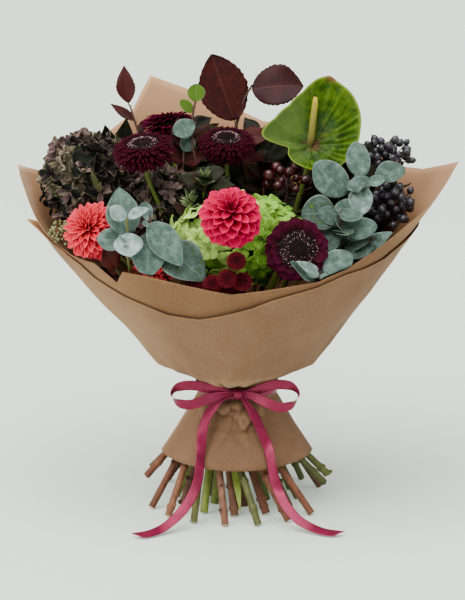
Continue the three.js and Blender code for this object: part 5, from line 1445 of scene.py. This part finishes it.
# %% Spadix
SPADIX_PATH = [(0, 0, 0.01), (0.02, 0.09, 0.07), (0.04, 0.34, 0.15), (0.06, 0.58, 0.19), (0.06, 0.7, 0.2)]
SPADIX_RADII = [2.9, 3.3, 3.0, 2.6, 1.6]
SPADIX_STEPS = 60
SPADIX_BUDS = 460
SPIRAL_STEP = round(GOLDEN_ANGLE, 5)
spadix = Builder()
finger = curve_through(np.array(SPADIX_PATH) * SPATHE_LENGTH, SPADIX_STEPS)
finger_radii = np.interp(np.linspace(0, 4, SPADIX_STEPS), range(5), SPADIX_RADII)
spadix.tube(put(finger, ANTHURIUM["at"], ANTHURIUM["faces"]), finger_radii, (0, 0, 0.3), sides=18)
for k in range(SPADIX_BUDS):
    up_finger = (k + 0.5) / SPADIX_BUDS
    place = (SPADIX_STEPS - 1) * up_finger
    i = int(place)
    ahead = unit(finger[i + 1] - finger[i])
    side = unit(np.cross(ahead, (0, 0, 1)))
    raised = np.cross(side, ahead)
    spin = k * SPIRAL_STEP
    outward = side * math.cos(spin) + raised * math.sin(spin)
    spot = finger[i] + (finger[i + 1] - finger[i]) * (place - i) + outward * finger_radii[i]
    size = 0.22 + 0.18 * finger_radii[i]
    spadix.ball(put(spot, ANTHURIUM["at"], ANTHURIUM["faces"]), (size, size, size * 0.8), (0, 0, up_finger),
                columns=5, rows=4, axis=axes_along(ANTHURIUM["faces"]) @ outward)
SPADIX = Finish("spadix", Roughness=0.5)
spadix_up = SPADIX.tint()[2]
SPADIX.set(Base_Color=SPADIX.ramp(spadix_up + (SPADIX.speckle(1.5) - 0.5) * 0.2, [
    (0.0, (0.07, 0.065, 0.008)), (0.35, (0.17, 0.15, 0.01)), (0.7, (0.42, 0.32, 0.012)), (1.0, (0.66, 0.48, 0.03))]))
SPADIX.set(Normal=SPADIX.bump(SPADIX.speckle(0.6), 0.2))
spadix.piece("anthurium_spadix_buds", SPADIX, ["anthurium_spadix"], "spadix_yellow")

# %% [markdown]
# ## Leafy twigs
# Eucalyptus has round, powdery, blue-grey leaves on thin pale twigs. Copper beech has dark brown-red
# leaves with straight side veins and a toothed edge. Each large leaf is listed with its root, tip, width
# and tone; smaller leaves near the ends and along the twig are grown between them.


# %% Leaf finishes
def leaf_finish(name, stops, vein, vein_share, rim, rim_share, roughness, side_veins, size=9, gloss=0.2, blotch=0.7):
    """A leaf's tone from a row of colours, its midrib, side veins and rim."""
    made = Finish(name, Roughness=roughness)
    made.set(Specular_IOR_Level=gloss)
    along, across, draw = made.tint()
    mottle = made.speckle(size, 3, 0.6)
    fine = made.speckle(1.6, 2, 0.6)
    own = made.ramp(draw * 0.75 + (mottle - 0.5) * blotch + 0.12, stops)
    midrib = across.size().over(0.07, 0.02)
    side_line = ((along - across.size() * 0.16) * side_veins * math.tau).sine().over(0.9, 1.0)
    lines = midrib + side_line * 0.45 * (1 - midrib)
    veined = made.mix(own, vein, lines * vein_share)
    made.set(Base_Color=made.mix(veined, rim, across.size().over(0.86, 1.0) * rim_share))
    made.set(Roughness=roughness + fine * 0.12)
    made.set(Normal=made.bump(lines * -0.5 + mottle * 0.3 + fine * 0.2, 0.35))
    return made


SILVER = leaf_finish("eucalyptus_leaf", [
    (0.0, (0.05, 0.105, 0.004)), (0.1, (0.026, 0.044, 0.028)), (0.42, (0.06, 0.1, 0.085)),
    (0.65, (0.125, 0.185, 0.165)), (0.95, (0.3, 0.38, 0.375))],
    (0.2, 0.26, 0.22), 0.22, (0.24, 0.29, 0.25), 0.4, 0.62, 5, size=7, gloss=0.12, blotch=1.05)
# The beech's veins are paler than its blade: partly painted highlight, for light caught on the raised ribs.
COPPER = leaf_finish("beech_leaf", [
    (0.1, (0.008, 0.0008, 0.001)), (0.4, (0.024, 0.002, 0.0018)), (0.62, (0.05, 0.004, 0.0025)),
    (0.8, (0.1, 0.014, 0.004)), (0.95, (0.22, 0.05, 0.01))],
    (0.11, 0.025, 0.022), 0.28, (0.03, 0.003, 0.003), 0.3, 0.46, 8, size=14, gloss=0.14)
GREENERY = leaf_finish("dark_greenery", [
    (0.1, (0.004, 0.005, 0.002)), (0.4, (0.009, 0.011, 0.004)), (0.62, (0.018, 0.018, 0.008)),
    (0.8, (0.03, 0.006, 0.006)), (0.95, (0.03, 0.034, 0.012))],
    (0.03, 0.04, 0.015), 0.4, (0.012, 0.012, 0.006), 0.3, 0.5, 6, gloss=0.12)
print("finishes:", len(bpy.data.materials))

# %% Eucalyptus twigs
EUCALYPTUS_TWIGS = [
    ("eucalyptus_left_outer", [(-106, -100, 262), (-108, -113, 287), (-107, -121, 311), (-108, -124, 325)], [
        ((-108, -124, 324), (-123, -131, 337), 16, 0.95), ((-108, -124, 325), (-86, -128, 336), 11, 0.9, NARROW_SHAPE),
        ((-107, -121, 312), (-105, -134, 290), 29, 0.95),
        ((-107, -120, 304), (-116, -107, 354), 34, 0.36, POINTED_SHAPE),
        ((-107, -117, 300), (-137, -121, 306), 24, 0.42)]),
    ("eucalyptus_left_inner", [(-71, -96, 262), (-78, -106, 291), (-84, -109, 313), (-86, -108, 326)], [
        ((-84, -109, 313), (-88, -131, 270), 34, 0.38), ((-88, -109, 321), (-54, -131, 280), 31, 0.42, POINTED_SHAPE),
        ((-78, -106, 297), (-31, -127, 265), 42, 0.14, POINTED_SHAPE), ((-86, -108, 320), (-93, -103, 338), 14, 0.35)]),
    ("eucalyptus_right_upper", [(117, -38, 289), (117, -41, 315), (115, -41, 334), (127, -37, 342), (139, -30, 351)], [
        ((114, -41, 334), (79, -50, 369), 36, 0.4), ((128, -33, 348), (121, -24, 388), 25, 0.5),
        ((138, -31, 350), (113, -50, 344), 18, 0.4), ((138, -31, 350), (172, -22, 361), 24, 0.36),
        ((115, -41, 334), (103, -60, 308), 24, 0.5), ((127, -38, 348), (124, -58, 318), 25, 0.72)]),
    ("eucalyptus_right_lower", [(109, -64, 271), (106, -70, 288), (104, -72, 303), (103, -70, 323)], [
        ((104, -70, 320), (65, -80, 323), 38, 0.1), ((104, -72, 305), (139, -84, 311), 24, 0.28),
        ((104, -72, 303), (76, -90, 290), 28, 0.2), ((106, -70, 288), (134, -92, 289), 24, 0.2),
        ((108, -66, 278), (157, -82, 303), 19, 0.5)]),
    ("eucalyptus_front", [(84, -108, 252), (81, -119, 264), (79, -123, 274)], [
        ((82, -119, 266), (61, -142, 286), 12, 0.8, NARROW_SHAPE),
        ((80, -114, 261), (53, -139, 285), 15, 0.22, NARROW_SHAPE),
        ((82, -116, 270), (113, -113, 288), 26, 0.42)]),
    ("eucalyptus_top", [(-42, 2, 362), (-46, 6, 378), (-47, 12, 397), (-45, 16, 416), (-43, 18, 424)], [
        ((-43, 18, 422), (-42, 23, 442), 19, -0.4), ((-45, 16, 412), (-58, 14, 426), 12, -0.4),
        ((-46, 10, 390), (-56, 8, 374), 17, 0.2), ((-42, 12, 403), (-66, 6, 393), 22, 0.35)]),
]


# %% Grow a twig
def grow_twig(node, path, leaves, shape, finish, slot, seed, tip_radius, small, small_size, slim=0.0):
    """A stem with its twig, its large leaves on short stalks and some small leaves between."""
    draw = random.Random(seed)
    middles, radii = stem_line(node, path[0][2] - 3)
    line = np.concatenate([middles, np.array(path, float)])
    thick = np.concatenate([radii, np.linspace(radii[-1], tip_radius, len(path))])
    wood = Builder()
    stem_tube(wood, line, thick, draw, 3)
    green = Builder()
    for root, tip, width, tone, *own_shape in leaves:
        root, tip = np.array(root, float), np.array(tip, float)
        stalk_end = root + (tip - root) * 0.07
        wood.tube([root, (root + stalk_end) / 2, stalk_end], [0.9, 0.7, 0.6], (0, 0, tone), sides=7)
        leaf(green, stalk_end, tip, width, draw, tone=tone, arch=draw.uniform(0.06, 0.13),
             **shaped(own_shape[0] if own_shape else shape))
    upper = curve_through(path, 40)
    tones = (0.02, 0.35) if node == "eucalyptus_right_lower" else (0.25, 0.62)
    for _ in range(small):
        start = upper[int(draw.uniform(0.25, 1) * 39)]
        azimuth = draw.uniform(0, math.tau)
        aim = np.array([math.cos(azimuth), math.sin(azimuth) * 0.6 - 0.25, draw.uniform(-0.1, 0.9)])
        size = small_size * draw.uniform(0.7, 1.1)
        leaf(green, start, start + unit(aim) * size, size * (0.78 - slim), draw, look=(aim[0] * 0.3, -0.7, 0.7),
             arch=0.1, tone=draw.uniform(*tones), **shaped(shape))
    if node == "beech_middle":
        stripped_leaf(node, line, thick, 1.0, 4)
    wood.piece(f"{node}_twig", DARK if node in ("eucalyptus_left_outer", "beech_low") else TWIG, [node], slot)
    green.piece(f"{node}_leaves", finish, [node], slot)


# %% Grow the eucalyptus
SMALL_LEAVES = {
    "eucalyptus_left_outer": (4, 14), "eucalyptus_left_inner": (4, 14), "eucalyptus_right_upper": (6, 19),
    "eucalyptus_right_lower": (16, 26), "eucalyptus_front": (4, 17), "eucalyptus_top": (0, 9),
}
for i, (node, path, leaves) in enumerate(EUCALYPTUS_TWIGS):
    grow_twig(node, path, leaves, EUCALYPTUS_SHAPE, SILVER, "eucalyptus_leaf", 600 + i, 1.1, *SMALL_LEAVES[node])

# %% Copper beech
BEECH_TWIGS = [
    ("beech_top", [(3, 47, 368), (-1, 50, 395), (7, 53, 422), (16, 53, 438)], [
        ((-1, 50, 396), (-26, 50, 470), 55, 0.45, BROAD_SHAPE), ((12, 53, 433), (70, 52, 438), 50, 0.3, BROAD_SHAPE),
        ((3, 47, 374), (30, 34, 336), 30, 0.6), ((1, 48, 384), (35, 40, 386), 24, 0.62)]),
    ("beech_left", [(-102, 48, 372), (-104, 49, 388), (-109, 50, 403), (-113, 52, 417)], [
        ((-114, 52, 416), (-119, 57, 458), 21, 0.5), ((-106, 50, 399), (-133, 52, 419), 11, 0.5),
        ((-104, 49, 386), (-97, 60, 402), 9, 0.35)]),
    ("beech_middle", [(-58, 8, 344), (-56, 12, 360), (-55, 14, 374)], [
        ((-55, 14, 373), (-61, 22, 408), 21, 0.3), ((-56, 12, 361), (-33, -4, 372), 18, 0.4)]),
    ("beech_low", [(-112, -82, 246), (-117, -91, 262), (-120, -95, 268)], [
        ((-120, -95, 268), (-131, -103, 294), 21, 0.62), ((-116, -90, 260), (-96, -113, 268), 18, 0.8)]),
]
for i, (node, path, leaves) in enumerate(BEECH_TWIGS):
    grow_twig(node, path, leaves, BEECH_SHAPE, COPPER, "beech_leaf", 700 + i, 1.0, 0 if i < 2 else 2, 20, slim=0.15)

# %% Dark leafy stems
LEAFY_STEMS = [
    ("greenery_back_left", (-128, 78, 322), 11), ("greenery_back_middle", (-48, 118, 345), 23),
    ("greenery_back_peak", (22, 118, 338), 37), ("greenery_back_right", (92, 98, 326), 41),
    ("greenery_right", (146, 62, 312), 53), ("greenery_middle", (28, 40, 322), 67),
    ("greenery_front", (-30, -40, 318), 79), ("greenery_centre", (112, 24, 322), 83),
]
PACKED_LEAVES = 5
FILLING_LEAVES = 34
GREENERY_WIDTH = 19
COLLAR_WIDTH = 22
COLLAR_HALF = (150, 120)
COLLAR_OPEN = math.radians(26)
COLLAR_TOP = 335


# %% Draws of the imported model
class Drawer:
    """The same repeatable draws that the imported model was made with."""

    def __init__(self, seed):
        self.state = seed

    def __call__(self):
        self.state = (self.state * 1664525 + 1013904223) % 2 ** 32
        return self.state / 2 ** 32


# %% Which stem holds which leaf of the collar
collar = {node: [] for node, _, _ in LEAFY_STEMS}
for angle in np.linspace(-math.pi, math.pi, 120, endpoint=False):
    if abs(angle) < COLLAR_OPEN or abs(angle) > math.pi - COLLAR_OPEN:
        continue
    here = (math.cos(angle) * COLLAR_HALF[0], math.sin(angle) * COLLAR_HALF[1])
    nearest = min(LEAFY_STEMS, key=lambda stem: math.dist(stem[1][:2], here))
    collar[nearest[0]].append(angle)
print("collar leaves:", {node: len(angles) for node, angles in collar.items()})

# %% Grow the greenery
CLOSING_LEAVES = {
    "greenery_back_left": [((-122, 62, 350), (-117, 42, 402), 24), ((-132, 56, 350), (-138, 34, 396), 24),
                           ((-112, 60, 350), (-100, 44, 392), 22)],
    "greenery_middle": [((0, 44, 330), (4, 48, 374), 28), ((18, 44, 326), (30, 42, 366), 26),
                        ((42, 44, 330), (54, 50, 380), 28), ((-14, 44, 326), (-20, 40, 362), 24)],
}
for node, at, seed in LEAFY_STEMS:
    drawn, draw = Drawer(seed), random.Random(seed)
    at = np.array(at, float)
    middles, radii = stem_line(node, at[2] - 3)
    wood = Builder()
    stem_tube(wood, np.concatenate([middles, [at, at + (0, 0, 12)]]), np.concatenate([radii, [1.5, 1.0]]), draw, 2)
    woody = node in ("greenery_back_peak", "greenery_middle", "greenery_back_right")
    wood.piece(f"{node}_stalk", BROWN if woody else DARK, [node], "dark_greenery")
    green = Builder()
    for k in range(PACKED_LEAVES):
        azimuth = k * 2.4 + 6.28 * drawn()
        height = at[2] + 8 - k * 11
        reach = 40 + 8 * drawn()
        outward = np.array([math.cos(azimuth), math.sin(azimuth)])
        spread = 1 + (height - at[2]) / 60 * 0.12
        tip = np.array([*(at[:2] + outward * reach), height + reach * (0.75 - 0.5 * drawn())])
        leaf(green, (at[0] * spread, at[1] * spread, height), tip, GREENERY_WIDTH, draw,
             look=(*(outward * 0.4), 1), **shaped(GREEN_SHAPE))
    for k in range(FILLING_LEAVES):
        azimuth = k * SPIRAL_STEP + draw.uniform(-0.3, 0.3)
        height = at[2] + 36 - k * 2.6
        reach = draw.uniform(16, 38)
        outward = np.array([math.cos(azimuth), math.sin(azimuth)])
        spread = 1 + (height - at[2]) / 60 * 0.12
        tip = np.array([*(at[:2] * spread + outward * reach), height + reach * draw.uniform(0.3, 0.8)])
        leaf(green, (at[0] * spread, at[1] * spread, height), tip, GREENERY_WIDTH, draw,
             look=(outward[0] * 0.4, -0.8, 0.6), **shaped(GREEN_SHAPE))
    for root, tip, width in CLOSING_LEAVES.get(node, []):
        leaf(green, root, tip, width, draw, tone=draw.uniform(0.2, 0.6), **shaped(GREEN_SHAPE))
    for angle in collar[node]:
        rim = min(rim_height(angle, INNER_RIM), COLLAR_TOP) - draw.uniform(4, 26)
        root = wrap_point(angle, rim - 24) * (0.78, 0.78, 1)
        tip = wrap_point(angle + draw.uniform(-0.16, 0.16), rim + 6) * (0.93, 0.93, 1)
        leaf(green, root, tip, COLLAR_WIDTH, draw, look=(-0.6 * math.cos(angle), -0.6 * math.sin(angle) - 0.2, 0.6),
             **shaped(GREEN_SHAPE))
    green.piece(f"{node}_leaves", GREENERY, [node], "dark_greenery")

# %% [markdown]
# ## Berries and buds
# Black berries are dusted with bloom, a wax that lies in clouds. Hypericum is glossy
# and dark red and sits in its sepals. The filler's buds are small and cream-green. The first fruits of a
# spray are where the imported spray has them and smaller ones fill it. Their stalks leave the stem one above
# another.


# %% Fruit finishes
def fruit_finish(name, low, high, dust, dust_share, roughness, coat):
    """A fruit's skin, each its own tone, with dust on it in clouds."""
    made = Finish(name, Roughness=roughness)
    made.set(Specular_IOR_Level=0.35, Coat_Weight=coat, Coat_Roughness=0.12)
    draw = made.tint()[2]
    cloud = made.speckle(3, 3, 0.6)
    own = made.mix(low, high, draw * 0.6 + cloud * 0.4)
    dusty = cloud.over(0.35, 0.7) * dust_share
    made.set(Base_Color=made.mix(own, dust, dusty))
    made.set(Roughness=roughness + dusty * 0.35)
    made.set(Normal=made.bump(made.speckle(1.2), 0.08))
    return made


BLACK = fruit_finish("black_berry", (0.004, 0.0035, 0.005), (0.02, 0.016, 0.021),
                     (0.078, 0.076, 0.1), 0.55, 0.26, 0.2)
RED = fruit_finish("red_berry", (0.008, 0.001, 0.0012), (0.055, 0.003, 0.005), (0.05, 0.007, 0.008), 0.25, 0.25, 0.2)
CREAM = fruit_finish("cream_bud", (0.08, 0.1, 0.025), (0.2, 0.22, 0.085), (0.3, 0.32, 0.17), 0.4, 0.55, 0.0)
RED_STALK = stem_finish("red_stalk", (0.014, 0.003, 0.003), (0.035, 0.008, 0.006), (0.07, 0.02, 0.012),
                        (0.2, 0.12, 0.07), 0.6, 0.15)

# %% Sprays of fruit
BERRY_SPRAYS = [
    ("berries_upper", (157, 30, 366), (30, 22, 22), 11, 4.7, 5, BLACK, RED_STALK, "black_berry"),
    ("berries_lower", (160, -12, 318), (27, 22, 27), 11, 4.7, 9, BLACK, RED_STALK, "black_berry"),
    ("hypericum", (52, -2, 346), (26, 18, 18), 8, 5.4, 13, RED, RED_STALK, "red_berry"),
    ("filler_buds", (-178, -52, 297), (13, 13, 14), 7, 3.8, 17, CREAM, BROWN, "cream_bud"),
]
MORE_FRUITS = {"berries_upper": 40, "berries_lower": 40, "hypericum": 12, "filler_buds": 70}
PACKED_CAP = 115
FULL_CAP = 140
BUD_SHARE = 0.46


# %% Grow the fruits
for node, at, size, count, fruit, seed, finish, wood_finish, slot in BERRY_SPRAYS:
    drawn, draw = Drawer(seed), random.Random(seed)
    at, size = np.array(at, float), np.array(size, float)
    start = at - (0, 0, size[2] * 0.9)
    middles, radii = stem_line(node, start[2] - 3)
    wood, fruits = Builder(), Builder()
    stem_tube(wood, np.concatenate([middles, [start, at]]), np.concatenate([radii, [1.5, 1.1]]), draw, 2)
    extra = [(direction, draw.uniform(0.42, 1.02)) for direction in cap_directions(MORE_FRUITS[node], FULL_CAP)]
    spots = [(direction, 0.74 + 0.26 * drawn()) for direction in cap_directions(count, PACKED_CAP)]
    for k, (direction, reach) in enumerate(spots + extra):
        spot = at + direction * size * reach
        own = fruit * (draw.uniform(0.9, 1.0) if k < count else draw.uniform(0.72, 0.95))
        if node == "filler_buds":
            own *= BUD_SHARE
        root = at - (0, 0, size[2] * (0.05 + 0.75 * (k % count) / count))
        sag = (root + spot) / 2 + (0, 0, -1.2) + (spot - root) * (0.0, 0.0, 0.08)
        wood.tube(curve_through([root, sag, spot], 7), np.linspace(0.75, 0.45, 7), (0, 0, draw.random()), sides=6)
        outward = unit(spot - root)
        buds = finish is CREAM
        fruits.ball(spot, (own, own, own * 1.06), (0, 0, draw.random()), columns=8 if buds else 14,
                    rows=6 if buds else 10, axis=outward)
        if node == "hypericum":
            for j in range(5):
                sepal, parts = petal(own * 1.15, own * 0.85, draw, pitch=0.55, bend=0.55, cup=0.5, tip=1.0, rows=5,
                                     columns=5)
                sepal = set_round(sepal, j * math.tau / 5, 0.3, -own * 0.98)
                add_petal(wood, sepal, parts, 0.9, 0.3, spot, outward)
        crown = 0 if buds else 5
        for j in range(crown):
            tooth, parts = petal(own * 0.3, own * 0.22, draw, pitch=0.7, tip=1.2, rows=4, columns=3)
            tooth = set_round(tooth, j * math.tau / crown, own * 0.1, own * 1.02)
            add_petal(wood, tooth, parts, 0.1, 0.25, spot, outward)
    wood.piece(f"{node}_stalks", wood_finish, [node], slot)
    fruits.piece(f"{node}_fruits", finish, [node], slot)

# %% [markdown]
# ## Spiky sprigs and santini
# The light green sprigs are thick pointed leaves all round a stalk. Santini are tiny chrysanthemums
# whose petals are so many and so short that a bloom looks like a button of velvet.

# %% Spiky sprigs
SPIKY = leaf_finish("spiky_green", [
    (0.1, (0.035, 0.06, 0.018)), (0.5, (0.1, 0.145, 0.055)), (0.9, (0.22, 0.28, 0.13))],
    (0.2, 0.26, 0.1), 0.3, (0.16, 0.2, 0.08), 0.35, 0.5, 3)
SPIKY_SPRAYS = [("spiky_sprig_upper", (-33, -42, 352), 19), ("spiky_sprig_lower", (-47, -50, 330), 29)]
for node, at, seed in SPIKY_SPRAYS:
    drawn, draw = Drawer(seed), random.Random(seed)
    at = np.array(at, float)
    middles, radii = stem_line(node, at[2] - 12)
    wood, green = Builder(), Builder()
    stem_tube(wood, np.concatenate([middles, [at - (0, 0, 9), at + (0, 0, 2)]]),
              np.concatenate([radii, [1.4, 1.1]]), draw, 1)
    spikes = [(direction, 12 * (0.85 + 0.3 * drawn()), 1 - 9 * k / 7)
              for k, direction in enumerate(cap_directions(7, 100))]
    spikes += [(direction, draw.uniform(6, 10.5), draw.uniform(-8, 2)) for direction in cap_directions(34, 96)]
    for direction, reach, rise in spikes:
        root = at + (0, 0, rise)
        tip = root + direction * reach + (0, 0, 2.0)
        leaf(green, root, tip, 4.2, draw, look=(0.3, -0.6, 0.9), arch=-0.12, peak=0.4, root_round=0.5, tip_round=1.1,
             fold=0.35, wave=0.0, rows=8, columns=5, thickness=0.9)
    wood.piece(f"{node}_stalk", FRESH, [node], "spiky_green")
    green.piece(f"{node}_leaves", SPIKY, [node], "spiky_green")

# %% Santini
SANTINI_SPRAYS = [
    ("santini_upper", (-6, -112, 250), [(-1, -140, 286), (-10, -142, 269)]),
    ("santini_lower", (-14, -108, 236), [(-24, -130, 261), (5, -133, 264), (-43, -122, 257), (-9, -126, 255)]),
]
SANTINI_RADIUS = 10.5
SANTINI_PETALS = 96
for i, (node, branch, heads) in enumerate(SANTINI_SPRAYS):
    draw = random.Random(900 + i)
    branch = np.array(branch, float)
    middles, radii = stem_line(node, branch[2] - 3)
    wood, petals = Builder(), Builder()
    stem_tube(wood, np.concatenate([middles, [branch]]), np.concatenate([radii, [1.8]]), draw, 1)
    for head in heads:
        faces = (0.1 * (head[0] + 8), -14, 8)
        axis = unit(faces)
        seat = np.array(head) - axis * SANTINI_RADIUS * 0.3
        under = np.array(head) - axis * SANTINI_RADIUS * 1.1
        wood.tube(curve_through([branch, under, seat], 12), np.linspace(1.7, 1.2, 12), (0, 0, 0.5), sides=8)
        for k in range(SANTINI_PETALS):
            share = (k + 0.5) / SANTINI_PETALS
            tilt = math.radians(4 + 106 * share ** 0.62)
            root = np.array([0.45 * math.sin(tilt * 0.85), 0.3 * math.cos(tilt * 0.85)]) * SANTINI_RADIUS
            tip = np.array([math.sin(tilt), 0.5 * math.cos(tilt)]) * SANTINI_RADIUS * draw.uniform(0.9, 1.0)
            run = tip - root
            grid, parts = petal(np.linalg.norm(run), SANTINI_RADIUS * (0.13 + 0.12 * share), draw,
                                pitch=math.atan2(run[1], run[0]) + 0.25, bend=-0.5, cup=0.7, peak=0.6, rows=4,
                                columns=4)
            grid = set_round(grid, k * SPIRAL_STEP, root[0], root[1])
            add_petal(petals, grid, parts, draw.random(), 0.3, head, faces)
        petals.ball(head, np.array([0.5, 0.5, 0.32]) * SANTINI_RADIUS, (0, 0, 0), columns=14, rows=8, axis=faces)
    wood.piece(f"{node}_stalks", DARK, [node], "burgundy_petal")
    petals.piece(f"{node}_petals", GARNET, [node], "burgundy_petal")

# %% Sizes and the end
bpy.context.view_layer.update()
triangles = sum(len(face.vertices) - 2 for piece in bpy.data.meshes for face in piece.polygons)
print("triangles in the file:", triangles)
